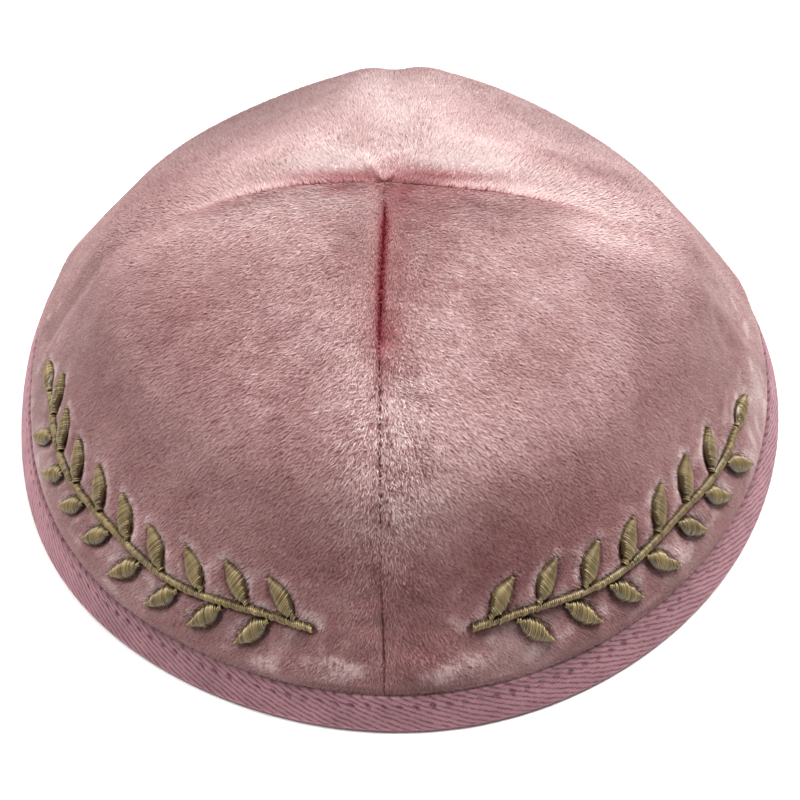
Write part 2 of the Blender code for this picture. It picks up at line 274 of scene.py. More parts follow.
print("shape, gore length", round(goreLength, 2), "mm")


# mesh helpers

# New object from points in mm and a whole array of equal faces, or a list of such arrays.
def addMesh(name, points, faces, materials, smoothShading=True):
    groups = faces if isinstance(faces, list) else [faces]
    mesh = bpy.data.meshes.new(name)
    loopVerts = np.concatenate([g.ravel() for g in groups]).astype(np.int32)
    sizes = np.concatenate([np.full(len(g), g.shape[1]) for g in groups])
    mesh.vertices.add(len(points))
    mesh.vertices.foreach_set("co", (np.asarray(points) * mm).astype(np.float32).ravel())
    mesh.loops.add(len(loopVerts))
    mesh.loops.foreach_set("vertex_index", loopVerts)
    mesh.polygons.add(len(sizes))
    mesh.polygons.foreach_set("loop_start", np.concatenate([[0], np.cumsum(sizes)[:-1]]).astype(np.int32))
    mesh.update(calc_edges=True)
    mesh.validate()
    mesh.polygons.foreach_set("use_smooth", np.full(len(mesh.polygons), smoothShading))
    for material in materials:
        mesh.materials.append(material)
    made = bpy.data.objects.new(name, mesh)
    scene.collection.objects.link(made)
    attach(made, "root")
    return made


# A per-point mask for the material to read.
def addMask(made, name, values):
    mask = made.data.attributes.new(name, "FLOAT", "POINT")
    mask.data.foreach_set("value", np.asarray(values, np.float32).ravel())


def addUv(made, name, pointUv):
    layer = made.data.uv_layers.new(name=name)
    index = np.empty(len(made.data.loops), np.int32)
    made.data.loops.foreach_get("vertex_index", index)
    layer.data.foreach_set("uv", np.asarray(pointUv, np.float32)[index].ravel())


# Quads over a grid of points stored row by row.
def gridFaces(rows, columns, wrap=False, offset=0):
    r = np.arange(rows - 1)[:, None]
    c = np.arange(columns if wrap else columns - 1)[None, :]
    n = (c + 1) % columns
    quads = np.stack([r * columns + c, r * columns + n, (r + 1) * columns + n, (r + 1) * columns + c], axis=-1)
    return quads.reshape(-1, 4) + offset


# shader building blocks

def newMaterial(name):
    material = bpy.data.materials.new(name)
    material.use_nodes = True
    return material, material.node_tree, material.node_tree.nodes["Principled BSDF"]


def addNode(tree, kind, place=(0, 0), **settings):
    node = tree.nodes.new(kind)
    node.location = place
    for key, value in settings.items():
        if key in ("operation", "blend_type", "data_type", "attribute_name", "label", "noise_dimensions",
                   "feature", "distance", "interpolation_type", "uv_map", "object"):
            setattr(node, key, value)
        else:
            node.inputs[key].default_value = value
    return node


def addRamp(tree, stops, place=(0, 0)):
    ramp = tree.nodes.new("ShaderNodeValToRGB")
    ramp.location = place
    while len(ramp.color_ramp.elements) < len(stops):
        ramp.color_ramp.elements.new(0.5)
    for element, (position, colour) in zip(ramp.color_ramp.elements, stops):
        element.position = position
        element.color = (*colour, 1.0)
    return ramp


def groupWith(name, inputs, outputs):
    group = bpy.data.node_groups.new(name, "ShaderNodeTree")
    for socketName, kind, value in inputs:
        socket = group.interface.new_socket(name=socketName, in_out="INPUT", socket_type=kind)
        if value is not None:
            socket.default_value = value
    for socketName, kind in outputs:
        group.interface.new_socket(name=socketName, in_out="OUTPUT", socket_type=kind)
    start = group.nodes.new("NodeGroupInput")
    end = group.nodes.new("NodeGroupOutput")
    start.location = (-900, 0)
    end.location = (600, 0)
    return group, start, end


def useGroup(tree, group, place=(0, 0), **values):
    node = tree.nodes.new("ShaderNodeGroup")
    node.node_tree = group
    node.location = place
    for key, value in values.items():
        node.inputs[key].default_value = value
    return node


# embroidery layout: where each branch lies, so that the pile can give way to it

branchStyle = {
    "up": 20.8,
    "stemWidth": 1.3,
    "stemWave": 0.7,
    "leafPitch": 9.6,
    "leafLength": 9.0,
    "leafWidth": 3.6,
    "stalkLength": 1.3,
    "stalkWidth": 0.9,
    "leafLean": 48.0,
    "lift": 0.3,
    "thickness": 0.7,
    "threadPitch": 0.40,
}
# name, stem degrees, tip degrees
branches = [("leaf_branch_left", 260.0, 187.0), ("leaf_branch_right", 282.5, 346.0)]
branchRadius = float(np.interp(branchStyle["up"] / goreLength, profileFraction, profileRadius))


def stemMiddle(x):
    return branchStyle["stemWave"] * np.sin(2.0 * math.pi * x / (4.0 * branchStyle["leafPitch"]))


def leafHalfWidth(along):
    s = branchStyle
    blade = np.clip((along - s["stalkLength"]) / (s["leafLength"] - s["stalkLength"]), 0.0, 1.0)
    stalk = s["stalkWidth"] / 2.0 * (1.0 - blade) ** 3
    return s["leafWidth"] / 2.0 * np.sin(math.pi * blade ** 0.8) + stalk


# The strips of satin stitch: a function of t giving middle, side direction and half width, and its length.
def satinColumns(length):
    s = branchStyle
    strips = []

    def stem(t):
        x = t * length
        middle = np.stack([x, stemMiddle(x)], axis=-1)
        side = np.stack([0.0 * x, 0.0 * x + 1.0], axis=-1)
        return middle, side, np.full_like(x, s["stemWidth"] / 2.0)

    strips.append((stem, length, 0.75))
    for lean, first in ((1, 0.35), (-1, 0.85)):
        for base in np.arange(first * s["leafPitch"], length - 0.5 * s["leafPitch"], s["leafPitch"]):
            turn = math.radians(s["leafLean"]) * lean
            axis = np.array([math.cos(turn), math.sin(turn)])
            foot = np.array([base, stemMiddle(base) + lean * s["stemWidth"] / 2.0])

            def leaf(t, axis=axis, foot=foot, lean=lean):
                along = t * s["leafLength"]
                middle = foot + along[:, None] * axis
                side = np.tile(np.array([-axis[1], axis[0]]) * lean, (len(t), 1))
                return middle, side, leafHalfWidth(along)

            strips.append((leaf, s["leafLength"], 1.0))

    def tip(t):
        along = t * s["leafLength"]
        middle = np.stack([length + along, stemMiddle(length) + 0.0 * along], axis=-1)
        side = np.stack([0.0 * along, 0.0 * along + 1.0], axis=-1)
        return middle, side, leafHalfWidth(along)

    strips.append((tip, s["leafLength"], 1.0))
    return strips


# Heading round the cap and length of the stem in mm.
def branchFrame(row):
    turn = math.radians(row[2] - row[1])
    return math.copysign(1.0, turn), abs(turn) * branchRadius - branchStyle["leafLength"]


# Distance in mm to the nearest embroidery edge, negative on it, and the direction away from it.
def branchDistance(angle, up):
    best = np.full(angle.shape, 99.0)
    awayX = np.zeros(angle.shape)
    awayY = np.zeros(angle.shape)
    for row in branches:
        heading, length = branchFrame(row)
        turn = (angle - math.radians(row[1]) + math.pi) % (2.0 * math.pi) - math.pi
        x = heading * turn * branchRadius
        y = up - branchStyle["up"]
        near = (x > -4.0) & (x < length + 14.0) & (np.abs(y) < 13.0)
        if not near.any():
            continue
        px = x[near]
        py = y[near]
        b = best[near]
        ax = awayX[near]
        ay = awayY[near]
        for strip, size, _ in satinColumns(length):
            t = np.linspace(0.0, 1.0, max(8, int(size / 0.7)))
            middle, _, half = strip(t)
            for (mx, my), h in zip(middle, half):
                dx = px - mx
                dy = py - my
                gap = np.hypot(dx, dy) - h * 0.95
                closer = gap < b
                b = np.where(closer, gap, b)
                ax = np.where(closer, dx * heading, ax)
                ay = np.where(closer, dy, ay)
        best[near] = b
        awayX[near] = ax
        awayY[near] = ay
    return best, awayX, awayY


print("embroidery layout")


# velvet: tone patches of painted light and shade, pile lay, shells and the pile itself

velvet = {
    "rootDepth": 0.6,
    "tuftsFront": 196000,
    "tuftsBack": 121000,
    "tuftLength": 1.1,
    "tuftWidth": 0.18,
    "lean": 22.0,
    "leanBack": 36.0,
    "leanSpread": 5.0,
    "yawSpread": 21.0,
    "rollSpread": 17.0,
    "swirl": 8.0,
    "grain": 0.05,
    "sparkle": 0.20,
    "backing": (0.44, 0.24, 0.26),
}

# which way the pile lies on each panel: first angle in degrees, world direction
panels = [
    ("back_right", 0.0, (0.35, 0.80, -0.50)),
    ("back_left", 90.0, (-0.35, 0.80, -0.50)),
    ("front_left", 180.0, (-0.76, -0.38, -0.52)),
    ("front_right", 270.0, (0.78, -0.42, -0.50)),
]

# soft patches on the flattened gores: mm right of the apex, mm behind it, half width, half depth, amount
# painted highlights and painted shade, partly where the nap shows lighter or darker
napAndPaintedLightPatches = [
    (50.0, 45.0, 34.0, 26.0, -0.14),
    (-36.0, 45.0, 34.0, 26.0, -0.12),
    (8.0, 3.0, 30.0, 20.0, 0.42),
    (2.0, 3.0, 8.0, 8.0, -0.28),
    (44.0, 15.0, 16.0, 5.0, -0.22),
    (-28.0, 3.0, 16.0, 5.0, 0.20),
    (2.0, 27.0, 8.0, 8.0, 0.20),
    (-52.0, 15.0, 14.0, 10.0, -0.15),
    (44.0, 3.0, 16.0, 5.0, 0.15),
    (90.0, 3.0, 20.0, 14.0, 0.15),
    (44.0, -6.0, 16.0, 5.0, 0.17),
    (-28.0, -6.0, 16.0, 5.0, 0.16),
    (4.0, -6.0, 30.0, 20.0, 0.11),
    (56.0, -30.0, 5.0, 22.0, -0.15),
    (8.0, -48.0, 22.0, 14.0, 0.14),
    (-58.0, -36.0, 26.0, 24.0, -0.08),
    (2.0, -67.0, 8.0, 8.0, 0.09),
    (26.0, -78.0, 14.0, 10.0, -0.22),
    (-4.0, -78.0, 16.0, 5.0, -0.15),
    (44.0, -66.0, 8.0, 8.0, -0.13),
    (32.0, -90.0, 8.0, 8.0, 0.26),
    (8.0, -96.0, 8.0, 8.0, -0.13),
    (-10.0, 5.0, 14.0, 1.7, -0.20),
    (9.0, 5.0, 16.0, 1.7, -0.20),
    (-10.0, 8.6, 5.0, 2.4, 0.14),
    (-7.5, 7.0, 3.2, 2.0, 0.12),
    (-2.4, 5.0, 2.8, 1.2, 0.34),
    (3.0, 5.1, 3.2, 1.2, 0.30),
    (0.5, 8.9, 4.6, 2.2, -0.28),
    (14.0, 4.4, 7.0, 1.1, -0.14),
    (-14.0, 8.6, 13.0, 2.8, 0.22),
    (16.0, 8.6, 14.0, 2.8, 0.24),
    (1.0, 41.0, 14.0, 9.0, 0.16),
    (95.0, -18.0, 6.0, 9.0, 0.30),
    (87.0, -11.0, 8.0, 6.0, -0.10),
    (-17.0, -0.5, 5.0, 2.6, 0.17),
    (-9.0, -4.5, 7.0, 4.0, 0.13),
    (10.0, -5.0, 8.0, 5.0, 0.08),
    (-16.0, -54.0, 10.0, 7.0, -0.13),
    (37.0, -43.0, 14.0, 10.0, -0.09),
    (50.0, -19.0, 10.0, 8.0, -0.07),
    (35.0, -24.0, 10.0, 8.0, 0.06),
    (12.0, -68.0, 12.0, 10.0, 0.13),
    (-8.0, -73.0, 8.0, 9.0, 0.11),
    (-62.0, -81.0, 10.0, 8.0, 0.09),
    (41.0, -91.0, 8.0, 4.0, -0.06),
    (4.0, -85.0, 5.0, 6.0, -0.06),
    (-5.0, -92.0, 4.0, 4.0, 0.06),
    (51.0, -50.0, 10.0, 8.0, 0.08),
    (56.0, -36.0, 9.0, 8.0, 0.05),
    (-46.0, -23.0, 14.0, 10.0, -0.06),
    (-40.0, -42.0, 10.0, 8.0, -0.06),
    (6.5, -16.0, 3.5, 7.0, 0.08),
    (-1.0, -84.0, 3.5, 8.0, -0.06),
    (-92.0, -42.0, 4.0, 14.0, 0.15),
    (-17.0, 1.2, 5.0, 2.5, 0.12),
    (20.0, -0.5, 5.0, 2.6, 0.15),
    (3.2, -1.5, 2.2, 4.5, -0.05),
    (3.2, -19.0, 2.0, 5.0, -0.04),
    (2.4, -33.0, 1.8, 3.5, -0.10),
    (4.5, -53.0, 4.0, 3.6, 0.11),
    (5.5, -58.8, 4.0, 2.6, -0.11),
    (-8.0, -54.5, 5.0, 4.0, 0.07),
    (15.0, -47.0, 6.0, 5.0, -0.06),
    (4.0, -75.0, 5.0, 7.0, 0.07),
    (-12.0, 1.5, 4.0, 1.9, 0.08),
    (-4.6, 7.2, 2.2, 1.7, 0.20),
    (-1.3, 7.4, 1.3, 1.3, -0.13),
    (1.6, 7.3, 1.3, 1.1, -0.13),
    (2.6, 4.5, 1.6, 0.8, 0.10),
    (6.2, 3.3, 3.8, 0.7, -0.16),
    (-3.2, 3.4, 1.4, 0.7, -0.08),
    (0.2, 2.0, 1.6, 0.9, -0.10),
]
# painted highlights on the puckers above the tape, broken up into clumps
puckerHighlights = [
    (-29.5, -96.6, 2.2, 1.5, 0.36),
    (-26.8, -98.2, 2.4, 1.3, 0.40),
    (-11.8, -97.3, 2.8, 1.2, 0.56),
    (-7.6, -98.8, 2.8, 1.1, 0.80),
    (10.5, -99.8, 3.4, 1.3, 0.30),
    (15.0, -98.2, 3.6, 1.4, 0.42),
    (20.5, -95.8, 4.0, 1.9, 0.28),
    (69.5, -67.4, 3.6, 2.8, 0.24),
    (93.2, -36.0, 2.6, 5.0, 0.20),
]
# painted shade: where the nap is drawn greyer and darker, mostly low at the back, turned away from the light
paintedShadePatches = [
    (-46.0, 44.0, 34.0, 28.0, 0.70),
    (-8.0, 57.0, 34.0, 28.0, 0.54),
    (52.0, 44.0, 34.0, 28.0, 0.60),
    (0.0, 108.0, 90.0, 44.0, 0.12),
]
# where the pile is ruffled and its single tufts show
rufflePatches = [
    (-20.0, -34.0, 18.0, 28.0, 0.32),
    (20.0, -34.0, 18.0, 28.0, 0.28),
    (-2.0, -56.0, 7.0, 24.0, 0.52),
    (6.0, -58.0, 6.0, 22.0, 0.52),
    (0.0, -78.0, 7.0, 9.0, 0.22),
    (-10.0, -99.0, 8.0, 3.0, 0.6),
    (15.0, -98.0, 8.0, 3.0, 0.6),
    (3.0, 10.0, 14.0, 8.0, 0.15),
]
# where the pile shows its deep colour, darker and redder: partly painted shade along the seams and in the crease
redShadePatches = [
    (-9.0, 5.0, 9.0, 1.6, 0.42),
    (9.0, 5.2, 10.0, 1.6, 0.46),
    (14.0, 4.5, 7.0, 1.1, 0.16),
    (-9.4, 0.9, 3.0, 1.9, 0.50),
    (-16.0, -0.4, 5.0, 2.4, 0.20),
    (8.0, -7.0, 8.0, 6.0, 0.34),
    (14.0, -2.0, 9.0, 3.5, 0.30),
    (2.4, -34.0, 2.2, 4.5, 0.44),
    (3.2, -1.0, 2.4, 4.5, 0.34),
    (10.0, 0.8, 6.0, 2.0, 0.14),
    (-6.0, 0.9, 4.0, 1.8, 0.18),
    (3.4, -19.0, 2.0, 6.0, 0.26),
    (4.0, -76.0, 5.0, 7.0, 0.06),
    (1.2, -41.0, 1.4, 4.0, 0.20),
    (6.4, 3.3, 4.6, 0.8, 0.24),
    (2.8, 1.6, 3.6, 1.3, 0.26),
    (-1.0, 2.0, 2.2, 0.9, 0.24),
    (-6.5, 1.9, 2.0, 0.9, 0.20),
]
# how each seam shows: mm up, half gap in the pile, darkness of the line, deep colour beside it, half width of the
# line; the darkness and deep colour are painted shade in the seam's gap and crease
seamLines = {
    "front": np.array([
        (8.0, 0.03, 0.10, 0.0, 0.12), (17.0, 0.04, 0.52, 0.0, 0.13), (27.0, 0.04, 0.45, 0.0, 0.13),
        (30.0, 0.03, 0.08, 0.0, 0.14), (41.0, 0.03, 0.12, 0.0, 0.14), (46.0, 0.06, 0.70, 0.0, 0.16),
        (66.0, 0.09, 0.75, 0.0, 0.18), (70.0, 0.10, 0.60, 0.30, 0.20), (75.0, 0.12, 0.50, 0.80, 0.24),
        (84.0, 0.13, 0.45, 1.0, 0.30), (101.0, 0.12, 0.42, 1.0, 0.30), (105.5, 0.08, 0.35, 0.60, 0.26),
        (108.5, 0.04, 0.10, 0.20, 0.20), (113.0, 0.03, 0.04, 0.10, 0.16),
    ]),
    "side": np.array([
        (8.0, 0.03, 0.03, 0.0, 0.12), (74.0, 0.03, 0.05, 0.0, 0.12), (82.0, 0.04, 0.22, 0.06, 0.16),
        (92.0, 0.05, 0.34, 0.20, 0.18), (108.0, 0.05, 0.34, 0.35, 0.20), (112.0, 0.03, 0.05, 0.35, 0.18),
    ]),
    "back": np.array([
        (8.0, 0.04, 0.30, 0.0, 0.14), (58.0, 0.04, 0.30, 0.0, 0.14), (70.0, 0.03, 0.0, 0.0, 0.12),
        (108.0, 0.03, 0.0, 0.0, 0.12), (113.0, 0.03, 0.05, 0.20, 0.2),
    ]),
}


# Depth of the pile's surface: the solid's, but bulging out over the tape's edge.
def pileDepth(up):
    return outerDepth(up) * (0.12 + 0.88 * smooth((up - 9.8) / 1.0))


# How far the cloth is pulled in round the embroidery, and puffs out between, in mm of depth.
def quilting(angle, up, points, gap):
    band = smooth((up - 9.5) / 3.0) * smooth((36.0 - up) / 8.0) * (np.sin(angle) < 0.1)
    puff = 0.20 * softNoise(points, 5.0, 41) + 0.10 * softNoise(points, 2.6, 42)
    return 0.35 * np.exp(-((np.maximum(gap, 0.0) / 1.1) ** 2)) - band * np.clip(puff, -0.15, 0.45)


# Soft patches added up on the flattened gores; a patch stays in front of or behind the side seams.
def flatPatches(angle, up, rows):
    out = goreLength - up
    x = out * np.cos(angle)
    y = out * np.sin(angle)
    onDome = y + setBack(x / goreLength, y / goreLength)
    total = np.zeros_like(x)
    for right, behind, halfX, halfY, amount in rows:
        soft = np.exp(-((x - right) / halfX) ** 2 - ((onDome - behind) / halfY) ** 2)
        total += np.where((y > 0.0) == (behind > 2.0), amount * soft, 0.0)
    return total


# Distance to the nearer seam, half gap in the pile, and the line's darkness, deep colour and half width, the darkness
# and deep colour being painted shade.
def seamLook(angle, first, up):
    radius = np.interp(up / goreLength, profileFraction, profileRadius)
    below = radius * (angle - first)
    beyond = radius * (first + math.pi / 2.0 - angle)
    start = round(math.degrees(first)) % 360
    kinds = {0: ("side", "back"), 90: ("back", "side"), 180: ("side", "front"), 270: ("front", "side")}[start]
    look = []
    for column in (1, 2, 3, 4):
        a, b = (np.interp(up, seamLines[kind][:, 0], seamLines[kind][:, column]) for kind in kinds)
        look.append(np.where(below < beyond, a, b))
    return np.minimum(below, beyond), *look


# Pile direction at each place: the panel's lay, turned down along the front seam and over the tape.
def pileDirection(angle, up, normal, upward, lay, frontGap):
    out = goreLength - up
    front = np.sin(angle) < 0.0
    high = smooth((up - 68.0) / 20.0) * front
    shared = np.stack([0.55 * np.sign(np.cos(angle)), 0.21 + 0.0 * up, -0.51 + 0.0 * up], axis=-1)
    near = np.exp(-((out * np.sin(angle) / 14.0) ** 2)) * smooth((88.0 - up) / 22.0)
    near = near[..., None]
    along = np.asarray(lay, float) * (1.0 - near) + shared * near
    along[..., 1] *= 1.0 + 0.6 * high
    rear = np.exp(-((out * np.cos(angle) / 7.0) ** 2)) * (np.sin(angle) > 0.0)
    along[..., 0] *= 1.0 - rear
    along = along - normal * (normal * along).sum(-1, keepdims=True)
    beside = 0.32 + high * np.where(np.cos(angle) > 0.0, 0.34, 0.26)
    pull = 0.50 * np.exp(-((frontGap / 2.6) ** 2)) + beside * np.exp(-((frontGap / 12.0) ** 2))
    pull = np.clip(pull + 0.30 * np.exp(-(((up - tapeHeight) / 1.2) ** 2)), 0.0, 0.9)[..., None]
    return unit(unit(along) * (1.0 - pull) - upward * pull)


# Turns vectors about unit axes by these angles.
def rotateAbout(vectors, axis, turn):
    c = np.cos(turn)[..., None]
    s = np.sin(turn)[..., None]
    return vectors * c + np.cross(axis, vectors) * s + axis * ((axis * vectors).sum(-1, keepdims=True)) * (1.0 - c)


def velvetMaterial():
    material, tree, shader = newMaterial("velvetPile")
    tip = addNode(tree, "ShaderNodeAttribute", (-1100, 200), attribute_name="tip")
    tone = addNode(tree, "ShaderNodeAttribute", (-1100, 0), attribute_name="tone")
    red = addNode(tree, "ShaderNodeAttribute", (-1100, -200), attribute_name="red")
    paintedShade = addNode(tree, "ShaderNodeAttribute", (-1100, -400), attribute_name="paintedShade")
    cloth = addNode(tree, "ShaderNodeAttribute", (-1100, 400), attribute_name="cloth")
    lit = addNode(tree, "ShaderNodeMath", (-850, 100), operation="ADD")
    tree.links.new(tone.outputs["Fac"], lit.inputs[0])
    tree.links.new(tip.outputs["Fac"], lit.inputs[1])
    ramp = addRamp(tree, [
        (0.0, (0.080, 0.018, 0.020)),
        (0.25, (0.175, 0.052, 0.053)),
        (0.5, (0.345, 0.149, 0.145)),
        (0.75, (0.560, 0.345, 0.332)),
        (1.0, (0.800, 0.640, 0.620)),
    ], (-650, 100))
    tree.links.new(lit.outputs[0], ramp.inputs[0])
    gloss = addNode(tree, "ShaderNodeMapRange", (-650, -350))
    gloss.inputs["From Min"].default_value = 0.15
    gloss.inputs["From Max"].default_value = 0.85
    gloss.inputs["To Min"].default_value = 0.60
    gloss.inputs["To Max"].default_value = 0.38
    tree.links.new(lit.outputs[0], gloss.inputs["Value"])
    tree.links.new(gloss.outputs["Result"], shader.inputs["Roughness"])
    # red mask: deeper, darker colour, partly painted shade in creases and along the seams
    deep = addNode(tree, "ShaderNodeMix", (-300, 100), data_type="RGBA", blend_type="MULTIPLY")
    deep.inputs["B"].default_value = (0.66, 0.13, 0.20, 1.0)
    tree.links.new(red.outputs["Fac"], deep.inputs["Factor"])
    tree.links.new(ramp.outputs["Color"], deep.inputs["A"])
    # painted shade: the colour darkened toward grey by the paintedShade mask
    shadeDarkened = addNode(tree, "ShaderNodeMix", (-100, 100), data_type="RGBA", blend_type="MULTIPLY")
    shadeDarkened.inputs["B"].default_value = (0.46, 0.455, 0.455, 1.0)
    tree.links.new(paintedShade.outputs["Fac"], shadeDarkened.inputs["Factor"])
    tree.links.new(deep.outputs["Result"], shadeDarkened.inputs["A"])
    # painted shade and sheen: where the cloth is seen edge on, its colour turns greyer and darker
    edgeOn = addNode(tree, "ShaderNodeLayerWeight", (-650, 400), Blend=0.45)
    tree.links.new(cloth.outputs["Vector"], edgeOn.inputs["Normal"])
    edgeOnShadeColour = addNode(tree, "ShaderNodeHueSaturation", (100, 300), Saturation=0.85, Value=0.78)
    edgeOnShadeMix = addNode(tree, "ShaderNodeMix", (300, 100), data_type="RGBA", blend_type="MIX")
    tree.links.new(edgeOn.outputs["Facing"], edgeOnShadeMix.inputs["Factor"])
    tree.links.new(shadeDarkened.outputs["Result"], edgeOnShadeColour.inputs["Color"])
    tree.links.new(shadeDarkened.outputs["Result"], edgeOnShadeMix.inputs["A"])
    tree.links.new(edgeOnShadeColour.outputs["Color"], edgeOnShadeMix.inputs["B"])
    tree.links.new(edgeOnShadeMix.outputs["Result"], shader.inputs["Base Color"])
    shader.inputs["Specular IOR Level"].default_value = 0.6
    shader.inputs["Specular Tint"].default_value = (1.0, 0.90, 0.89, 1.0)
    shader.inputs["Sheen Weight"].default_value = 0.32
    shader.inputs["Sheen Roughness"].default_value = 0.35
    shader.inputs["Sheen Tint"].default_value = (1.0, 0.88, 0.87, 1.0)
    return material


# The pile down in a crease, a seam's gap or at the tape's edge, where it parts and shows its deep colour without
# sheen; its dark brown and crimson are partly painted shade.
def creaseMaterial():
    material, tree, shader = newMaterial("velvetCrease")
    tip = addNode(tree, "ShaderNodeAttribute", (-900, 100), attribute_name="tip")
    red = addNode(tree, "ShaderNodeAttribute", (-900, -150), attribute_name="red")
    brown = addRamp(tree, [(0.2, (0.070, 0.022, 0.024)), (0.8, (0.200, 0.085, 0.084))], (-650, 100))
    crimson = addRamp(tree, [(0.2, (0.060, 0.005, 0.007)), (0.8, (0.215, 0.022, 0.031))], (-650, -150))
    tree.links.new(tip.outputs["Fac"], brown.inputs[0])
    tree.links.new(tip.outputs["Fac"], crimson.inputs[0])
    colour = addNode(tree, "ShaderNodeMix", (-350, 0), data_type="RGBA", blend_type="MIX")
    tree.links.new(red.outputs["Fac"], colour.inputs["Factor"])
    tree.links.new(brown.outputs["Color"], colour.inputs["A"])
    tree.links.new(crimson.outputs["Color"], colour.inputs["B"])
    tree.links.new(colour.outputs["Result"], shader.inputs["Base Color"])
    shader.inputs["Roughness"].default_value = 0.7
    shader.inputs["Specular IOR Level"].default_value = 0.25
    shader.inputs["Specular Tint"].default_value = (1.0, 0.40, 0.45, 1.0)
    return material


def backingMaterial():
    material, tree, shader = newMaterial("velvetBacking")
    coords = addNode(tree, "ShaderNodeTexCoord", (-1100, 0))
    weave = addNode(tree, "ShaderNodeTexNoise", (-850, 0), Scale=1400.0, Detail=2.0)
    tree.links.new(coords.outputs["Object"], weave.inputs["Vector"])
    ramp = addRamp(tree, [(0.3, tuple(0.7 * c for c in velvet["backing"])), (0.7, velvet["backing"])], (-600, 0))
    tree.links.new(weave.outputs["Fac"], ramp.inputs[0])
    tree.links.new(ramp.outputs["Color"], shader.inputs["Base Color"])
    bump = addNode(tree, "ShaderNodeBump", (-300, -200), Strength=0.4, Distance=0.0002)
    tree.links.new(weave.outputs["Fac"], bump.inputs["Height"])
    tree.links.new(bump.outputs["Normal"], shader.inputs["Normal"])
    shader.inputs["Roughness"].default_value = 0.9
    shader.inputs["Specular IOR Level"].default_value = 0.2
    return material


pileMaterial = velvetMaterial()
deepShadeMaterial = creaseMaterial()
backMaterial = backingMaterial()


# Painted shade in small dents and painted highlights on light lips beside the front seam, where the stitching pulls
# the cloth; the cloth's shape is not dented here.
def needleShadeMarks():
    chance = np.random.default_rng(12)
    rows = []
    for step in range(11):
        x = 1.5 + chance.uniform(-0.4, 0.5)
        y = -48.5 - 2.2 * step + chance.uniform(-0.4, 0.4)
        rows.append((x, y, 0.30, 0.55, -0.55))
        rows.append((x + 0.7, y + 0.5, 0.45, 0.6, 0.22))
        rows.append((-1.3 + chance.uniform(-0.5, 0.3), y + 0.9, 0.28, 0.5, -0.35))
    return rows


needleShadeRows = needleShadeMarks()


# Light or dark of the nap with painted light and shade, how ruffled it is, and how far it shows its deep colour.
def toneAt(angle, up, points, seam):
    gap, _, dark, deep, line = seam
    dark = dark * (0.75 + 0.5 * smooth(softNoise(points, 1.2, 51) + 0.5))
    ruffle = np.clip(0.08 + flatPatches(angle, up, rufflePatches), 0.0, 1.0)
    clumps = 0.45 + 1.1 * smooth((softNoise(points, 0.5, 52) + 0.6) / 1.2)
    tone = flatPatches(angle, up, napAndPaintedLightPatches + needleShadeRows) + clumps * flatPatches(angle, up, puckerHighlights)
    tone = tone + (0.02 + 0.06 * ruffle) * (softNoise(points, 6.0, 7) + softNoise(points, 2.0, 8))
    # painted shade: the seam line dark in its gap, and darker beside the crease
    tone = tone - 0.9 * dark * np.exp(-((gap / line) ** 2)) - 0.16 * deep * np.exp(-((gap / 0.9) ** 2))
    # painted highlights on puffed lumps round the embroidery; painted light at the hem, lifting the shade where the
    # pile turns under at the tape's edge
    band = smooth((up - 9.5) / 2.0) * smooth((33.0 - up) / 8.0) * (np.sin(angle) < 0.1)
    lumps = smooth((softNoise(points, 2.3, 43) - 0.45) / 0.6)
    tone = tone + band * (0.18 * lumps + 0.02) + 0.12 * np.exp(-(((up - 9.6) / 1.6) ** 2))
    tone = tone + 0.22 * np.exp(-(((up - 8.4) / 0.8) ** 2))
    # deeper, darker colour at the hem, round the embroidery, in the crease and on the seam line: partly painted shade
    red = flatPatches(angle, up, redShadePatches) + 0.30 * np.exp(-(((up - 9.2) / 1.8) ** 2)) + 0.06 * band
    # the painted pucker highlights kept a little deeper in colour
    red = red + 0.12 * np.clip(2.0 * flatPatches(angle, up, puckerHighlights), 0.0, 1.0)
    red = red + deep * (0.60 * np.exp(-((gap / 0.9) ** 2)) + 0.40 * np.exp(-((gap / 2.2) ** 2)))
    red = red + 0.25 * dark * np.exp(-((gap / line) ** 2))
    return tone, ruffle, np.clip(red, 0.0, 1.0)


# How likely a tuft is to take the crease's dark colour, painted shade along the seams and at the tape's edge.
def creaseShare(seam, up):
    gap, _, dark, deep, line = seam
    share = 0.95 * np.exp(-((gap / (1.1 * line)) ** 2)) + 0.12 * np.exp(-((gap / (3.0 * line)) ** 2))
    thin = 1.3 * dark * np.exp(-((gap / line) ** 2)) + 0.12 * np.exp(-(((up - 8.2) / 0.35) ** 2))
    return np.clip(share * smooth((deep - 0.45) / 0.5) + thin, 0.0, 1.0)


# The painted shade and the cloth's own normal, for the material to read.
def addClothMasks(made, paintedShade, normal):
    addMask(made, "paintedShade", paintedShade)
    field = made.data.attributes.new("cloth", "FLOAT_VECTOR", "POINT")
    field.data.foreach_set("vector", np.asarray(normal, np.float32).ravel())


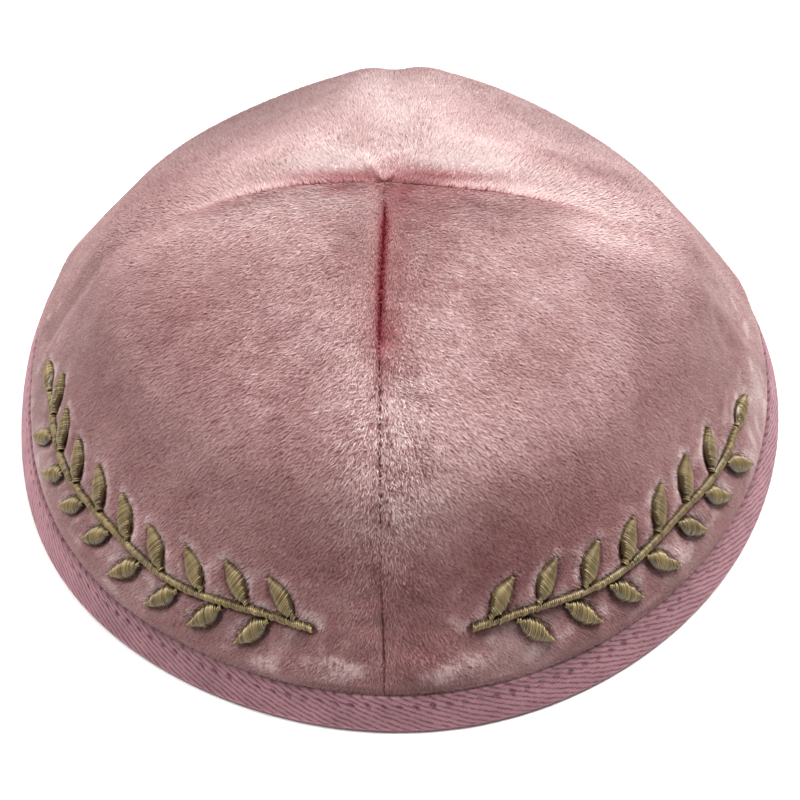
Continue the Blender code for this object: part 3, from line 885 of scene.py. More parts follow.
# Closed cloth under the pile: its pile side at root depth, its back the solid's own back.
def velvetShell(name, first):
    ups = np.concatenate([[4.0, 7.5], np.linspace(8.3, 34.0, 46), np.linspace(35.5, goreLength - 0.05, 50)])
    edge = np.array([0.0, 0.10, 0.24, 0.45, 0.9, 1.7])
    spread = np.linspace(0.0, 1.0, 101)[1:-1]
    rows = len(ups)
    columns = 2 * len(edge) + len(spread)
    radius = np.interp(ups / goreLength, profileFraction, profileRadius)[:, None]
    near = np.minimum(edge / np.maximum(radius, 0.01), np.linspace(0.0, 0.25, len(edge)))
    inside = near[:, -1:] + spread * (math.pi / 2.0 - 2.0 * near[:, -1:])
    angleGrid = math.radians(first) + np.concatenate([near, inside, math.pi / 2.0 - near[:, ::-1]], axis=1)
    upGrid = np.tile(ups[:, None], (1, columns))
    seam = seamLook(angleGrid, math.radians(first), upGrid)
    trench = np.exp(-((seam[0] / 0.30) ** 2)) * (0.05 + seam[2])
    away, _, _ = branchDistance(angleGrid.ravel(), upGrid.ravel())
    away = away.reshape(rows, columns)
    quilt = quilting(angleGrid, upGrid, place(angleGrid, upGrid, 0.0), away)
    over = np.where(upGrid > 8.25, pileDepth(upGrid), outerDepth(upGrid))
    outer = place(angleGrid, upGrid, np.maximum(over + velvet["rootDepth"], 0.0) + trench + quilt)
    hem = tapeThickness + clearance + hemCloth
    innerDepth = hem + (clothThickness - hem) * smooth((upGrid - tapeHeight - clearance) / bulgeTop)
    inner = place(angleGrid, upGrid, innerDepth)
    points = np.concatenate([outer.reshape(-1, 3), inner.reshape(-1, 3)])
    count = rows * columns
    outerFaces = gridFaces(rows, columns)
    innerFaces = gridFaces(rows, columns, offset=count)[:, ::-1]
    index = np.arange(count).reshape(rows, columns)
    rim = np.concatenate([index[0], index[1:, -1], index[-1, -2::-1], index[-2:0:-1, 0]])
    nextRim = np.roll(rim, -1)
    sideFaces = np.stack([rim, rim + count, nextRim + count, nextRim], axis=-1)
    made = addMesh("velvet_cloth_" + name, points, np.concatenate([outerFaces, innerFaces, sideFaces]),
                   [pileMaterial, backMaterial, deepShadeMaterial])
    slots = np.zeros(len(made.data.polygons), np.int32)
    slots[len(outerFaces):] = 1
    creased = (creaseShare(seam, upGrid) > 0.2).ravel()
    slots[:len(outerFaces)][creased[outerFaces].sum(axis=1) > 1] = 2
    made.data.polygons.foreach_set("material_index", slots)
    # the cloth between the tufts is coloured like the tufts' roots, in their painted shade
    addMask(made, "tip", np.full(2 * count, 0.35))
    flat = [part.ravel() for part in seam]
    tone, _, red = toneAt(angleGrid.ravel(), upGrid.ravel(), outer.reshape(-1, 3), flat)
    # painted shade: a dark line at the tape's edge, and darker cloth right beside the embroidery
    tone = tone - 0.2 * np.exp(-(((upGrid.ravel() - tapeHeight) / 0.4) ** 2))
    tone = tone - 0.3 * np.exp(-((np.maximum(away.ravel(), 0.0) / 0.8) ** 2))
    addMask(made, "tone", np.concatenate([tone, tone]))
    addMask(made, "red", np.concatenate([red, red]))
    paintedShade = np.clip(flatPatches(angleGrid, upGrid, paintedShadePatches), 0.0, 1.0).ravel()
    _, _, _, normal = localFrame(angleGrid.ravel(), np.maximum(upGrid.ravel(), 11.5))
    addClothMasks(made, np.concatenate([paintedShade, paintedShade]), np.concatenate([normal, -normal]))
    return made


# Short flat tufts that lean with the nap, rooted in the cloth, tips on the solid's surface.
def velvetPile(name, first, lay, count):
    low = 8.3
    n = np.arange(count) + 0.5
    u = (n * 0.7548776662466927) % 1.0
    v = (n * 0.5698402909980532) % 1.0
    u = (u + rng.uniform(-0.003, 0.003, count)) % 1.0
    v = (v + rng.uniform(-0.003, 0.003, count)) % 1.0
    heights = np.linspace(low, goreLength - 0.2, 400)
    share = np.cumsum(np.interp(heights / goreLength, profileFraction, profileRadius) + 1.0)
    up = np.interp(u * (share[-1] - share[0]) + share[0], share, heights)
    radius = np.interp(up / goreLength, profileFraction, profileRadius)
    margin = np.minimum(0.04 / radius, 0.3)
    angle = math.radians(first) + margin + v * (math.pi / 2.0 - 2.0 * margin)
    gap, awayX, awayY = branchDistance(angle, up)
    quilt = quilting(angle, up, place(angle, up, 0.0), gap)
    point, around, upward, normal = localFrame(angle, up, pileDepth(up) + velvet["rootDepth"] + quilt)
    seam = seamLook(angle, math.radians(first), up)
    frontGap = np.where(np.abs(np.sin(angle)) > 0.71, seam[0], 99.0) if name.startswith("front") else 99.0 + 0.0 * up
    along = pileDirection(angle, up, normal, upward, lay, frontGap)
    tone, ruffle, red = toneAt(angle, up, point, seam)
    swirl = (softNoise(point, 5.0, 21) + softNoise(point, 1.6, 22)) * velvet["swirl"] * (0.4 + ruffle)
    yaw = np.radians(swirl + rng.normal(0.0, 1.0, count) * velvet["yawSpread"] * (0.5 + ruffle))
    along = rotateAbout(along, normal, yaw)
    fringe = np.exp(-(((up - tapeHeight) / 1.8) ** 2))
    rear = smooth((goreLength - up) * np.sin(angle) / 12.0)
    lean = velvet["lean"] * (1.0 - rear) + velvet["leanBack"] * rear
    lean = lean + rng.normal(0.0, 1.0, count) * velvet["leanSpread"] * (0.6 + 0.9 * ruffle)
    lean = np.radians(lean + 5.0 * softNoise(point, 2.5, 23) * ruffle)
    length = velvet["tuftLength"] * rng.uniform(0.65, 1.25, count) * (1.0 - 0.30 * smooth((58.0 - up) / 22.0))
    width = velvet["tuftWidth"] * rng.uniform(0.6, 1.3, count)
    width = width * (1.0 + 0.35 * rear) * (1.0 - 0.12 * smooth((58.0 - up) / 22.0))
    # random tone per tuft; its wider spread in ruffled places is partly painted glints
    shade = rng.normal(0.0, 1.0, count) * (velvet["grain"] + velvet["sparkle"] * ruffle)

    wobble = 0.12 * softNoise(point * (0.3, 1.0, 1.0), 2.0, 24) + 0.05 * rng.normal(0.0, 1.0, count)
    keep = (gap > -0.25) & (seam[0] > seam[1] + np.where(seam[1] > 0.1, wobble, 0.0))
    keep &= (gap > 0.42) | (softNoise(point, 0.45, 25) > -0.15)
    away = unit(around * awayX[:, None] + upward * awayY[:, None] + normal * 1e-6)
    nearBranch = np.exp(-(np.maximum(gap, 0.0) / 0.8) ** 2)
    along = unit(along * (1.0 - 0.45 * nearBranch[:, None]) + away * 0.45 * nearBranch[:, None])
    length = length * (1.0 - 0.25 * nearBranch - 0.15 * fringe)

    # painted highlight: the pile lighter round the embroidery, most above it; painted shade just below it
    halo = np.exp(-((np.maximum(gap, 0.0) - 0.8) / 1.3) ** 2) * (gap < 6.0)
    fluffed = 0.55 + 0.9 * smooth((softNoise(point, 1.3, 27) + 0.3) / 0.9)
    tone = tone + shade + fluffed * halo * np.where(awayY > 0.0, 0.24, 0.07) - 0.16 * nearBranch * (awayY < 0.0)
    # painted shade: dark spots at the embroidery's edge, in the needle holes
    holes = np.exp(-((gap / 0.55) ** 2)) * (softNoise(point, 0.32, 28) > 0.35)
    tone = tone - 0.40 * holes
    roll = rng.normal(0.0, 1.0, count) * velvet["rollSpread"] * (0.35 + ruffle)
    side = rotateAbout(unit(np.cross(along, normal)), along, np.radians(roll))
    rise = np.clip(np.sin(lean), 0.02, 0.9)
    tipPoint = point + (along * np.cos(lean)[:, None] + normal * rise[:, None]) * length[:, None]
    half = side * width[:, None] / 2.0
    points = np.stack([point - half, point + half, tipPoint], axis=1)[keep].reshape(-1, 3)
    made = addMesh("velvet_pile_" + name, points, np.arange(len(points)).reshape(-1, 3),
                   [pileMaterial, deepShadeMaterial], False)
    creased = rng.uniform(0.0, 1.0, count) < creaseShare(seam, up)
    made.data.polygons.foreach_set("material_index", creased[keep].astype(np.int32))
    paintedShade = np.clip(flatPatches(angle, up, paintedShadePatches), 0.0, 1.0)
    _, _, _, level = localFrame(angle[keep], np.maximum(up[keep], 11.5))
    addClothMasks(made, np.repeat(paintedShade[keep], 3), np.repeat(level, 3, axis=0))
    # painted shade deep in the pile: each tuft darker at its root and lighter at its tip
    addMask(made, "tip", np.tile(np.array([0.35, 0.35, 0.75]), (int(keep.sum()), 1)))
    addMask(made, "tone", np.repeat(tone[keep], 3))
    addMask(made, "red", np.repeat(red[keep], 3))
    flatUv = np.stack([
        0.02 + 0.96 * (angle - math.radians(first)) / (math.pi / 2.0),
        0.02 + 0.96 * up / goreLength,
    ], axis=-1)[keep]
    cornerUv = np.repeat(flatUv, 3, axis=0) + np.tile(
        np.array([[0, 0], [0.002, 0], [0.001, 0.004]]), (int(keep.sum()), 1))
    addUv(made, "OFBake", cornerUv)
    return made


for name, first, lay in panels:
    shell = velvetShell(name, first)
    pile = velvetPile(name, first, lay, velvet["tuftsFront" if name.startswith("front") else "tuftsBack"])
    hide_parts("crown_panel_" + name)
    print("velvet", name, len(pile.data.polygons), "tufts")


# rim tape: twill folded over the hem, pulled in a little at every stitch

tape = {
    "columns": 960,
    "ridgePitch": 1.13,
    "ridgeSlant": 24.0,
    "stitchPitch": 3.1,
    "stitchLength": 1.5,
    "stitchBelow": 2.0,
    "threadRadius": 0.10,
    "dimple": 0.16,
    # twill colours from groove to ridge, partly the weave's own pattern, partly painted shade and painted highlight
    "groove": (0.205, 0.072, 0.090),
    "middle": (0.315, 0.138, 0.162),
    "ridge": (0.485, 0.255, 0.286),
    # dark end of the thread's colour, its painted shade at the front
    "thread": (0.090, 0.022, 0.032),
}


# Points round the folded tape as (mm up, depth, mm from its outer bottom corner), outer face first.
def tapeSection():
    wall = 2.0 * tapeThickness + 2.0 * clearance + hemCloth
    soft = 0.42
    rows = [(up, 0.0) for up in np.linspace(0.9, tapeHeight - soft, 27)]
    for turn in np.radians((22.0, 45.0, 68.0, 90.0)):
        rows.append((tapeHeight - soft + soft * math.sin(turn), soft - soft * math.cos(turn)))
    rows += [(tapeHeight, tapeThickness - 0.05), (tapeHeight - 0.5, tapeThickness + 0.18)]
    rows += [(3.0, tapeThickness + 0.1), (1.3, tapeThickness + 0.1), (1.3, wall - tapeThickness - 0.1)]
    rows += [(3.0, wall - tapeThickness - 0.1), (tapeHeight - 0.5, wall - tapeThickness - 0.18)]
    rows += [(tapeHeight, wall - tapeThickness + 0.1)]
    for turn in np.radians((0.0, 30.0, 60.0, 90.0)):
        rows.append((tapeHeight - soft + soft * math.cos(turn), wall - soft + soft * math.sin(turn)))
    rows += [(up, wall) for up in np.linspace(tapeHeight - soft - 0.6, 2.4, 8)]
    return rows, wall


# Grid of section points by columns round the rim, flat underneath.
def tapePoints(angles):
    rows, wall = tapeSection()
    grid = []
    across = []
    for up, depth in rows:
        grid.append(place(angles, np.full_like(angles, up), depth, relief=0.0))
        across.append(up if depth < tapeThickness + 0.06 else -4.0 - up)
    corner = 0.8
    for turn in np.radians((0.0, 30.0, 60.0, 90.0)):
        depth = wall - corner + corner * math.cos(turn)
        lower = place(angles, np.full_like(angles, 1.0), depth, relief=0.0)
        lower[:, 2] = corner - corner * math.sin(turn)
        grid.append(lower)
        across.append(-5.0 + 0.3 * depth)
    for depth in np.linspace(wall - corner - 0.5, corner + 0.3, 4):
        lower = place(angles, np.full_like(angles, 0.1), depth, relief=0.0)
        lower[:, 2] = 0.0
        grid.append(lower)
        across.append(-depth)
    for turn in np.radians((90.0, 60.0, 30.0, 0.0)):
        depth = corner - corner * math.cos(turn)
        lower = place(angles, np.full_like(angles, 0.12 + 0.75 * (1.0 - math.sin(turn))), depth, relief=0.0)
        lower[:, 2] = corner - corner * math.sin(turn)
        grid.append(lower)
        across.append(0.9 - 1.2 * math.sin(turn))
    return np.array(grid), np.array(across)


stitchCount = int(round(2.0 * math.pi * rimRadius / tape["stitchPitch"]))


# Angles of the stitches, evenly spaced along the rim.
def stitchAngles():
    return np.arange(stitchCount) * 2.0 * math.pi / stitchCount


# How much painted shade the stitches and their dents take: most at the front.
def stitchShade(angle):
    return 0.22 + 0.78 * smooth((-np.sin(angle) - 0.45) / 0.35)


# Diagonal twill ridges with ropey floats; gives a height and a tone from a flat map in mm, the tone painting the
# grooves darker and the ridges lighter.
def twillGroup():
    group, start, end = groupWith("twillWeave", [("Vector", "NodeSocketVector", None)],
                                  [("Height", "NodeSocketFloat"), ("Tone", "NodeSocketFloat")])
    links = group.links
    wobble = addNode(group, "ShaderNodeTexNoise", (-700, -250), Scale=0.42, Detail=2.0)
    links.new(start.outputs["Vector"], wobble.inputs["Vector"])
    split = addNode(group, "ShaderNodeSeparateXYZ", (-700, 0))
    links.new(start.outputs["Vector"], split.inputs[0])
    slope = math.tan(math.radians(tape["ridgeSlant"]))
    diagonal = addNode(group, "ShaderNodeMath", (-520, 0), operation="MULTIPLY_ADD")
    diagonal.inputs[1].default_value = slope
    links.new(split.outputs["X"], diagonal.inputs[0])
    links.new(split.outputs["Y"], diagonal.inputs[2])
    wander = addNode(group, "ShaderNodeMath", (-380, -100), operation="MULTIPLY_ADD")
    wander.inputs[1].default_value = 0.9
    links.new(wobble.outputs["Fac"], wander.inputs[0])
    links.new(diagonal.outputs[0], wander.inputs[2])
    phase = addNode(group, "ShaderNodeMath", (-240, -100), operation="MULTIPLY")
    phase.inputs[1].default_value = 2.0 * math.pi / tape["ridgePitch"]
    links.new(wander.outputs[0], phase.inputs[0])
    ridge = addNode(group, "ShaderNodeMath", (-100, -100), operation="SINE")
    links.new(phase.outputs[0], ridge.inputs[0])
    floatCoord = addNode(group, "ShaderNodeMath", (-380, 150), operation="MULTIPLY_ADD")
    floatCoord.inputs[1].default_value = 2.0 * math.pi / 0.62
    links.new(split.outputs["X"], floatCoord.inputs[0])
    links.new(phase.outputs[0], floatCoord.inputs[2])
    floats = addNode(group, "ShaderNodeMath", (-240, 150), operation="SINE")
    links.new(floatCoord.outputs[0], floats.inputs[0])
    falling = addNode(group, "ShaderNodeMath", (20, -220), operation="MULTIPLY_ADD")
    falling.inputs[1].default_value = -0.5
    falling.inputs[2].default_value = 0.5
    links.new(ridge.outputs[0], falling.inputs[0])
    narrow = addNode(group, "ShaderNodeMath", (140, -220), operation="POWER")
    narrow.inputs[1].default_value = 2.6
    links.new(falling.outputs[0], narrow.inputs[0])
    uneven = addNode(group, "ShaderNodeTexNoise", (-100, -420), Scale=0.9, Detail=3.0)
    links.new(start.outputs["Vector"], uneven.inputs["Vector"])
    broken = addNode(group, "ShaderNodeMapRange", (140, -420))
    broken.inputs["From Min"].default_value = 0.36
    broken.inputs["From Max"].default_value = 0.64
    broken.inputs["To Min"].default_value = -0.7
    broken.inputs["To Max"].default_value = -2.6
    links.new(uneven.outputs["Fac"], broken.inputs["Value"])
    broad = addNode(group, "ShaderNodeMath", (260, -220), operation="MULTIPLY_ADD")
    broad.inputs[2].default_value = 1.0
    links.new(narrow.outputs[0], broad.inputs[0])
    links.new(broken.outputs["Result"], broad.inputs[1])
    fine = addNode(group, "ShaderNodeTexNoise", (-380, -350), Scale=3.6, Detail=2.0)
    links.new(start.outputs["Vector"], fine.inputs["Vector"])
    withFloats = addNode(group, "ShaderNodeMath", (60, 0), operation="MULTIPLY_ADD")
    withFloats.inputs[1].default_value = 0.30
    links.new(floats.outputs[0], withFloats.inputs[0])
    links.new(broad.outputs[0], withFloats.inputs[2])
    withFine = addNode(group, "ShaderNodeMath", (220, 0), operation="MULTIPLY_ADD")
    withFine.inputs[1].default_value = 1.3
    links.new(fine.outputs["Fac"], withFine.inputs[0])
    links.new(withFloats.outputs[0], withFine.inputs[2])
    scaled = addNode(group, "ShaderNodeMapRange", (400, 0))
    scaled.inputs["From Min"].default_value = -0.5
    scaled.inputs["From Max"].default_value = 2.2
    links.new(withFine.outputs[0], scaled.inputs["Value"])
    links.new(scaled.outputs["Result"], end.inputs["Height"])
    links.new(scaled.outputs["Result"], end.inputs["Tone"])
    return group


# A row of short slanted marks of painted shade, one in the dent under each stitch of the rim, from a flat map in mm.
def stitchGroup():
    group, start, end = groupWith("stitchDents", [("Vector", "NodeSocketVector", None)],
                                  [("Dent", "NodeSocketFloat")])
    links = group.links
    split = addNode(group, "ShaderNodeSeparateXYZ", (-760, 0))
    links.new(start.outputs["Vector"], split.inputs[0])
    pitch = 2.0 * math.pi * rimRadius / stitchCount
    count = addNode(group, "ShaderNodeMath", (-600, 100), operation="DIVIDE")
    count.inputs[1].default_value = pitch
    links.new(split.outputs["X"], count.inputs[0])
    shifted = addNode(group, "ShaderNodeMath", (-460, 100), operation="ADD")
    shifted.inputs[1].default_value = 0.5
    links.new(count.outputs[0], shifted.inputs[0])
    part = addNode(group, "ShaderNodeMath", (-320, 100), operation="FRACT")
    links.new(shifted.outputs[0], part.inputs[0])
    along = addNode(group, "ShaderNodeMath", (-180, 100), operation="MULTIPLY_ADD")
    along.inputs[1].default_value = pitch
    along.inputs[2].default_value = -0.5 * pitch
    links.new(part.outputs[0], along.inputs[0])
    level = addNode(group, "ShaderNodeMath", (-180, -100), operation="SUBTRACT")
    level.inputs[1].default_value = tapeHeight - tape["stitchBelow"] - 0.16
    links.new(split.outputs["Y"], level.inputs[0])
    across = addNode(group, "ShaderNodeMath", (-40, -100), operation="MULTIPLY_ADD")
    across.inputs[1].default_value = math.tan(math.radians(tape["ridgeSlant"]))
    links.new(along.outputs[0], across.inputs[0])
    links.new(level.outputs[0], across.inputs[2])
    ends = addNode(group, "ShaderNodeMath", (100, 100), operation="DIVIDE")
    ends.inputs[1].default_value = 0.80
    links.new(along.outputs[0], ends.inputs[0])
    width = addNode(group, "ShaderNodeMath", (100, -100), operation="DIVIDE")
    width.inputs[1].default_value = 0.15
    links.new(across.outputs[0], width.inputs[0])
    both = addNode(group, "ShaderNodeCombineXYZ", (240, 0))
    links.new(ends.outputs[0], both.inputs[0])
    links.new(width.outputs[0], both.inputs[1])
    size = addNode(group, "ShaderNodeVectorMath", (380, 0), operation="LENGTH")
    links.new(both.outputs[0], size.inputs[0])
    dent = addNode(group, "ShaderNodeMapRange", (500, 0), interpolation_type="SMOOTHSTEP")
    dent.inputs["From Min"].default_value = 1.15
    dent.inputs["From Max"].default_value = 0.55
    links.new(size.outputs["Value"], dent.inputs["Value"])
    links.new(dent.outputs["Result"], end.inputs["Dent"])
    return group


def tapeMaterial():
    material, tree, shader = newMaterial("twillTape")
    flat = addNode(tree, "ShaderNodeUVMap", (-1200, 0), uv_map="tape")
    scale = addNode(tree, "ShaderNodeVectorMath", (-1020, 0), operation="SCALE")
    scale.inputs["Scale"].default_value = 100.0
    tree.links.new(flat.outputs["UV"], scale.inputs[0])
    twill = useGroup(tree, twillGroup(), (-820, 0))
    tree.links.new(scale.outputs["Vector"], twill.inputs["Vector"])
    # grooves darker and ridges lighter: partly painted shade and painted highlights
    ramp = addRamp(tree, [(0.12, tape["groove"]), (0.5, tape["middle"]), (0.95, tape["ridge"])], (-560, 100))
    tree.links.new(twill.outputs["Tone"], ramp.inputs[0])
    worn = addNode(tree, "ShaderNodeTexNoise", (-820, -350), Scale=0.16, Detail=3.0)
    tree.links.new(scale.outputs["Vector"], worn.inputs["Vector"])
    wornRange = addNode(tree, "ShaderNodeMapRange", (-560, -350))
    wornRange.inputs["From Min"].default_value = 0.3
    wornRange.inputs["From Max"].default_value = 0.7
    wornRange.inputs["To Min"].default_value = 0.86
    wornRange.inputs["To Max"].default_value = 1.12
    tree.links.new(worn.outputs["Fac"], wornRange.inputs["Value"])
    # the tape's painted light and shade, from its shade mask
    edge = addNode(tree, "ShaderNodeAttribute", (-560, -550), attribute_name="shade")
    dents = useGroup(tree, stitchGroup(), (-820, -700))
    tree.links.new(scale.outputs["Vector"], dents.inputs["Vector"])
    both = addNode(tree, "ShaderNodeMath", (-380, -400), operation="MULTIPLY")
    tree.links.new(wornRange.outputs["Result"], both.inputs[0])
    tree.links.new(edge.outputs["Fac"], both.inputs[1])
    shaded = addNode(tree, "ShaderNodeVectorMath", (-250, 100), operation="SCALE")
    tree.links.new(ramp.outputs["Color"], shaded.inputs[0])
    tree.links.new(both.outputs[0], shaded.inputs["Scale"])
    # painted shade: dark colour in the stitch dents, most at the front
    colour = addNode(tree, "ShaderNodeMix", (-80, 100), data_type="RGBA", blend_type="MIX")
    colour.inputs["B"].default_value = (0.070, 0.016, 0.024, 1.0)
    sunk = addNode(tree, "ShaderNodeAttribute", (-560, -800), attribute_name="stitchShade")
    depth = addNode(tree, "ShaderNodeMath", (-380, -700), operation="MULTIPLY")
    tree.links.new(dents.outputs["Dent"], depth.inputs[0])
    tree.links.new(sunk.outputs["Fac"], depth.inputs[1])
    tree.links.new(depth.outputs[0], colour.inputs["Factor"])
    tree.links.new(shaded.outputs["Vector"], colour.inputs["A"])
    tree.links.new(colour.outputs["Result"], shader.inputs["Base Color"])
    bump = addNode(tree, "ShaderNodeBump", (-250, -200), Strength=0.6, Distance=0.00020)
    tree.links.new(twill.outputs["Height"], bump.inputs["Height"])
    tree.links.new(bump.outputs["Normal"], shader.inputs["Normal"])
    shader.inputs["Roughness"].default_value = 0.75
    shader.inputs["Specular IOR Level"].default_value = 0.35
    shader.inputs["Sheen Weight"].default_value = 0.05
    shader.inputs["Sheen Tint"].default_value = (1.0, 0.85, 0.92, 1.0)
    return material


def rimTape():
    columns = tape["columns"]
    angles = np.arange(columns) * 2.0 * math.pi / columns
    grid, across = tapePoints(angles)
    centre = grid.mean(axis=(0, 1)) * (1.0, 1.0, 0.0)
    ring = grid[:, :, :2] - centre[:2]
    radial = unit(np.concatenate([ring, np.zeros(ring.shape[:2] + (1,))], axis=-1))
    flatU = angles * rimRadius
    outerRows = np.array([0.9 <= a <= tapeHeight for a in across])
    nearest = (flatU[:, None] - stitchAngles()[None, :] * rimRadius)
    nearest = np.abs((nearest + math.pi * rimRadius) % (2.0 * math.pi * rimRadius) - math.pi * rimRadius).min(axis=1)
    pull = np.exp(-((nearest / 0.75) ** 2))[None, :] * np.exp(
        -(((across - (tapeHeight - tape["stitchBelow"])) / 0.8) ** 2))[:, None]
    swell = softNoise(grid.reshape(-1, 3), 4.0, 31).reshape(grid.shape[:2])
    swell = swell * 0.10 * smooth((grid[:, :, 2] - 0.3) / 2.0)
    moved = grid + radial * np.where(outerRows[:, None], swell - tape["dimple"] * pull, 0.0)[..., None]
    rows = len(across)
    faces = gridFaces(rows, columns, wrap=True)
    last = np.arange(columns)
    nextLast = np.roll(last, -1)
    closing = np.stack([last + (rows - 1) * columns, nextLast + (rows - 1) * columns, nextLast, last], axis=-1)
    made = addMesh("rim_tape", moved.reshape(-1, 3), np.concatenate([faces, closing])[:, ::-1],
                   [tapeMaterial()])
    up = np.repeat(across, columns)
    addUv(made, "tape", np.stack([np.tile(flatU, rows), up], axis=-1) / 100.0)
    # painted light along the bottom edge; painted shade along the top edge under the velvet, in the stitch dimples, at
    # the front left and on the right side, with the left side a little lighter
    low = np.exp(-((moved[:, :, 2] / 0.7) ** 2)).ravel()
    top = np.exp(-(((up - tapeHeight) / 0.7) ** 2)) * outerRows.repeat(columns)
    spot = np.tile(0.18 * np.exp(-(((angles - math.radians(237.0)) / 0.30) ** 2)), rows)
    beside = np.tile(0.09 * np.cos(angles) * np.abs(np.cos(angles)), rows)
    addMask(made, "shade", 1.0 + 0.35 * low - 0.34 * top - 0.10 * pull.ravel() - spot - beside)
    addMask(made, "stitchShade", np.tile(stitchShade(angles), rows))
    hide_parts("rim_binding")
    return made


# Rounded threads: paths is (count, points, 3) in mm, outward the same, radius and shade one per thread.
def threads(name, paths, outward, radius, shade, materials, sides=5):
    count, steps, _ = paths.shape
    forward = np.gradient(paths, axis=1)
    forward = unit(forward)
    across = unit(np.cross(forward, outward))
    lift = unit(np.cross(across, forward))
    turn = np.arange(sides) * 2.0 * math.pi / sides + math.pi / 2.0
    taper = np.ones(steps)
    taper[0] = taper[-1] = 0.35
    size = radius[:, None] * taper[None, :]
    ring = (across[:, :, None] * np.cos(turn)[None, None, :, None] + lift[:, :, None] * np.sin(turn)[None, None, :, None])
    points = paths[:, :, None] + ring * size[:, :, None, None]
    stride = steps * sides
    one = gridFaces(steps, sides, wrap=True)
    faces = (one[None] + (np.arange(count) * stride)[:, None, None]).reshape(-1, 4)
    ends = np.stack([np.arange(sides)[::-1], np.arange(sides) + (steps - 1) * sides])
    caps = (ends[None] + (np.arange(count) * stride)[:, None, None]).reshape(-1, sides)
    made = addMesh(name, points.reshape(-1, 3), [faces, caps], materials)
    addMask(made, "shade", np.repeat(shade, stride))
    return made


def threadMaterial(name, dark, bright, roughness, metallic, sheen):
    material, tree, shader = newMaterial(name)
    shade = addNode(tree, "ShaderNodeAttribute", (-900, 0), attribute_name="shade")
    coords = addNode(tree, "ShaderNodeTexCoord", (-1100, -250))
    noise = addNode(tree, "ShaderNodeTexNoise", (-900, -250), Scale=900.0, Detail=2.0)
    tree.links.new(coords.outputs["Object"], noise.inputs["Vector"])
    mixIn = addNode(tree, "ShaderNodeMath", (-700, 0), operation="MULTIPLY_ADD")
    mixIn.inputs[1].default_value = 0.35
    tree.links.new(noise.outputs["Fac"], mixIn.inputs[0])
    tree.links.new(shade.outputs["Fac"], mixIn.inputs[2])
    ramp = addRamp(tree, [(0.15, dark), (1.0, bright)], (-500, 0))
    tree.links.new(mixIn.outputs[0], ramp.inputs[0])
    tree.links.new(ramp.outputs["Color"], shader.inputs["Base Color"])
    bump = addNode(tree, "ShaderNodeBump", (-300, -250), Strength=0.3, Distance=0.00008)
    tree.links.new(noise.outputs["Fac"], bump.inputs["Height"])
    tree.links.new(bump.outputs["Normal"], shader.inputs["Normal"])
    shader.inputs["Roughness"].default_value = roughness
    shader.inputs["Metallic"].default_value = metallic
    shader.inputs["Specular IOR Level"].default_value = 0.7
    shader.inputs["Sheen Weight"].default_value = sheen
    return material


# One line of stitches through the tape, seen outside and inside, each lying along the twill.
def topStitches():
    angles = stitchAngles()
    chance = np.random.default_rng(6)
    wall = 2.0 * tapeThickness + 2.0 * clearance + hemCloth
    slant = math.tan(math.radians(tape["ridgeSlant"]))
    paths = []
    outward = []
    for face, depth in ((1.0, 0.0), (-1.0, wall)):
        t = np.linspace(-0.5, 0.5, 6)
        length = tape["stitchLength"] * chance.uniform(0.85, 1.1, len(angles))
        x = t[None, :] * length[:, None]
        up = tapeHeight - tape["stitchBelow"] + chance.uniform(-0.12, 0.12, len(angles))[:, None] - x * slant
        sunk = 0.06 + 0.36 * np.abs(2.0 * t[None, :]) ** 6 - 0.12 * (1.0 - (2.0 * t[None, :]) ** 2)
        at = angles[:, None] + x / rimRadius
        point = place(at, up, depth + face * sunk, relief=0.0)
        beyond = place(at, up, depth - face * 1.0, relief=0.0)
        paths.append(point)
        outward.append(unit(beyond - point))
    paths = np.concatenate(paths)
    outward = np.concatenate(outward)
    count = len(paths)
    material = threadMaterial("rimThread", tape["thread"], tape["ridge"], 0.65, 0.0, 0.05)
    # painted shade on the thread at the front; at the sides it takes the tape's ridge colour
    shade = chance.uniform(-0.1, 0.2, count) + 0.8 * (1.0 - stitchShade(np.tile(angles, 2)))
    made = threads("rim_topstitch", paths, outward, tape["threadRadius"] * chance.uniform(0.9, 1.1, count),
                   shade, [material])
    return made


rimTape()
topStitches()
print("rim tape and topstitching")


# leaf branches in raised satin stitch

gold = {
    "dark": (0.070, 0.044, 0.014),
    "bright": (0.35, 0.256, 0.112),
    "roughness": 0.34,
    "metallic": 0.1,
    "slant": 0.45,
    "radius": 0.19,
}


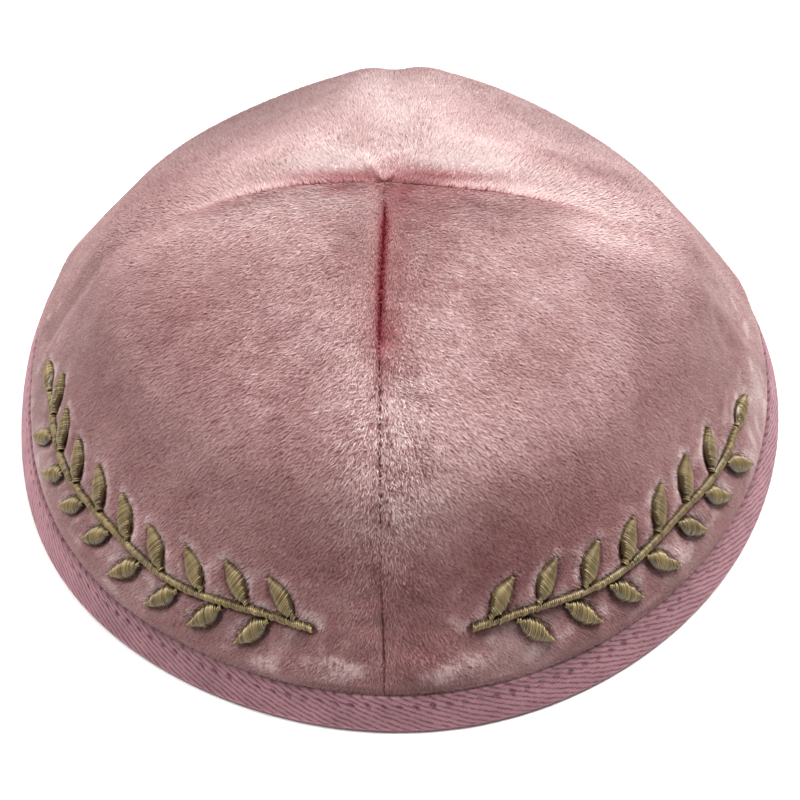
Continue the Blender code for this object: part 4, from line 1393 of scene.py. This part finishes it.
# Every strip of the branch filled with threads that arch from edge to edge over their padding.
def satinBranch(row, materials):
    heading, length = branchFrame(row)
    chance = np.random.default_rng(len(row[0]))
    paths = []
    shades = []
    padPoints = []
    padFaces = []
    for strip, size, height in satinColumns(length):
        count = max(6, int(size / branchStyle["threadPitch"]))
        start = branchStyle["stalkLength"] * 0.35 / size if height == 1.0 else 0.0
        t = np.linspace(start, 0.995, count)
        middle, side, half = strip(t)
        step = gold["slant"] * half / size
        low = strip(np.clip(t - step, 0.0, 1.0))
        high = strip(np.clip(t + step, 0.0, 1.0))
        half = np.maximum(half, 0.22)
        a = low[0] - side * (half + chance.uniform(-0.10, 0.26, count))[:, None]
        b = high[0] + side * (half + chance.uniform(-0.10, 0.26, count))[:, None]
        k = np.linspace(0.0, 1.0, 6)
        flat = a[:, None] + (b - a)[:, None] * k[None, :, None]
        arch = np.sin(math.pi * k)[None, :] ** 0.55
        puff = np.minimum(0.28 + 0.34 * half, 0.80)[:, None] * height
        lift = -0.75 + (0.75 + puff) * arch + chance.uniform(-0.05, 0.05, count)[:, None]
        paths.append(np.concatenate([flat, lift[..., None]], axis=-1))
        shades.append(chance.uniform(0.2, 0.75, count))
        rows = 12
        tp = np.linspace(start, 0.99, rows)
        pm, ps, ph = strip(tp)
        kp = np.linspace(-0.92, 0.92, 5)
        puffs = np.minimum(0.28 + 0.34 * np.maximum(ph, 0.22), 0.80)[:, None] * height
        top = -0.45 + (0.45 + puffs - 0.06) * np.cos(kp * math.pi / 2.0)[None, :] ** 0.5
        spot = pm[:, None] + ps[:, None] * (kp[None, :] * np.maximum(ph, 0.2)[:, None])[..., None]
        upper = np.concatenate([spot, top[..., None]], axis=-1).reshape(-1, 3)
        lower = np.concatenate([spot, np.full(top.shape, -0.6)[..., None]], axis=-1).reshape(-1, 3)
        base = sum(len(p) for p in padPoints)
        index = np.arange(rows * 5).reshape(rows, 5)
        border = np.concatenate([index[0], index[1:, -1], index[-1, -2::-1], index[-2:0:-1, 0]])
        following = np.roll(border, -1)
        padPoints.append(np.concatenate([upper, lower]))
        padFaces.append(gridFaces(rows, 5, offset=base))
        padFaces.append(gridFaces(rows, 5, offset=base + rows * 5)[:, ::-1])
        padFaces.append(np.stack([border, border + rows * 5, following + rows * 5, following], axis=-1) + base)

    def lay(points):
        angle = math.radians(row[1]) + heading * points[..., 0] / branchRadius
        up = branchStyle["up"] + points[..., 1]
        here, _, _, normal = localFrame(angle, up, outerDepth(up))
        return here + normal * points[..., 2:3], normal

    flatPaths = np.concatenate(paths)
    laid, normal = lay(flatPaths)
    total = len(flatPaths)
    made = threads(row[0] + "_threads", laid, normal, gold["radius"] * chance.uniform(0.9, 1.1, total),
                   np.concatenate(shades), materials)
    padding, _ = lay(np.concatenate(padPoints))
    pad = addMesh(row[0] + "_padding", padding, np.concatenate(padFaces), materials)
    addMask(pad, "shade", np.full(len(padding), -0.1))
    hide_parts(row[0])
    return made


goldMaterial = threadMaterial("goldThread", gold["dark"], gold["bright"], gold["roughness"], gold["metallic"], 0.0)
for row in branches:
    satinBranch(row, [goldMaterial])
print("leaf branches")


# floor

floorMesh = bpy.data.meshes.new("floor")
floorMesh.from_pydata([(-3, -3, -0.0002), (3, -3, -0.0002), (3, 3, -0.0002), (-3, 3, -0.0002)], [], [(0, 1, 2, 3)])
floor = bpy.data.objects.new("floor", floorMesh)
scene.collection.objects.link(floor)
floorMaterial, floorTree, floorShader = newMaterial("paleFloor")
floorCoords = addNode(floorTree, "ShaderNodeTexCoord", (-900, 0))
floorGrain = addNode(floorTree, "ShaderNodeTexNoise", (-700, 0), Scale=60.0, Detail=4.0)
floorTree.links.new(floorCoords.outputs["Object"], floorGrain.inputs["Vector"])
floorRamp = addRamp(floorTree, [(0.3, (0.925, 0.925, 0.925)), (0.7, (0.94, 0.94, 0.94))], (-450, 0))
floorTree.links.new(floorGrain.outputs["Fac"], floorRamp.inputs[0])
floorTree.links.new(floorRamp.outputs["Color"], floorShader.inputs["Base Color"])
floorShader.inputs["Roughness"].default_value = 0.9
floorMesh.materials.append(floorMaterial)
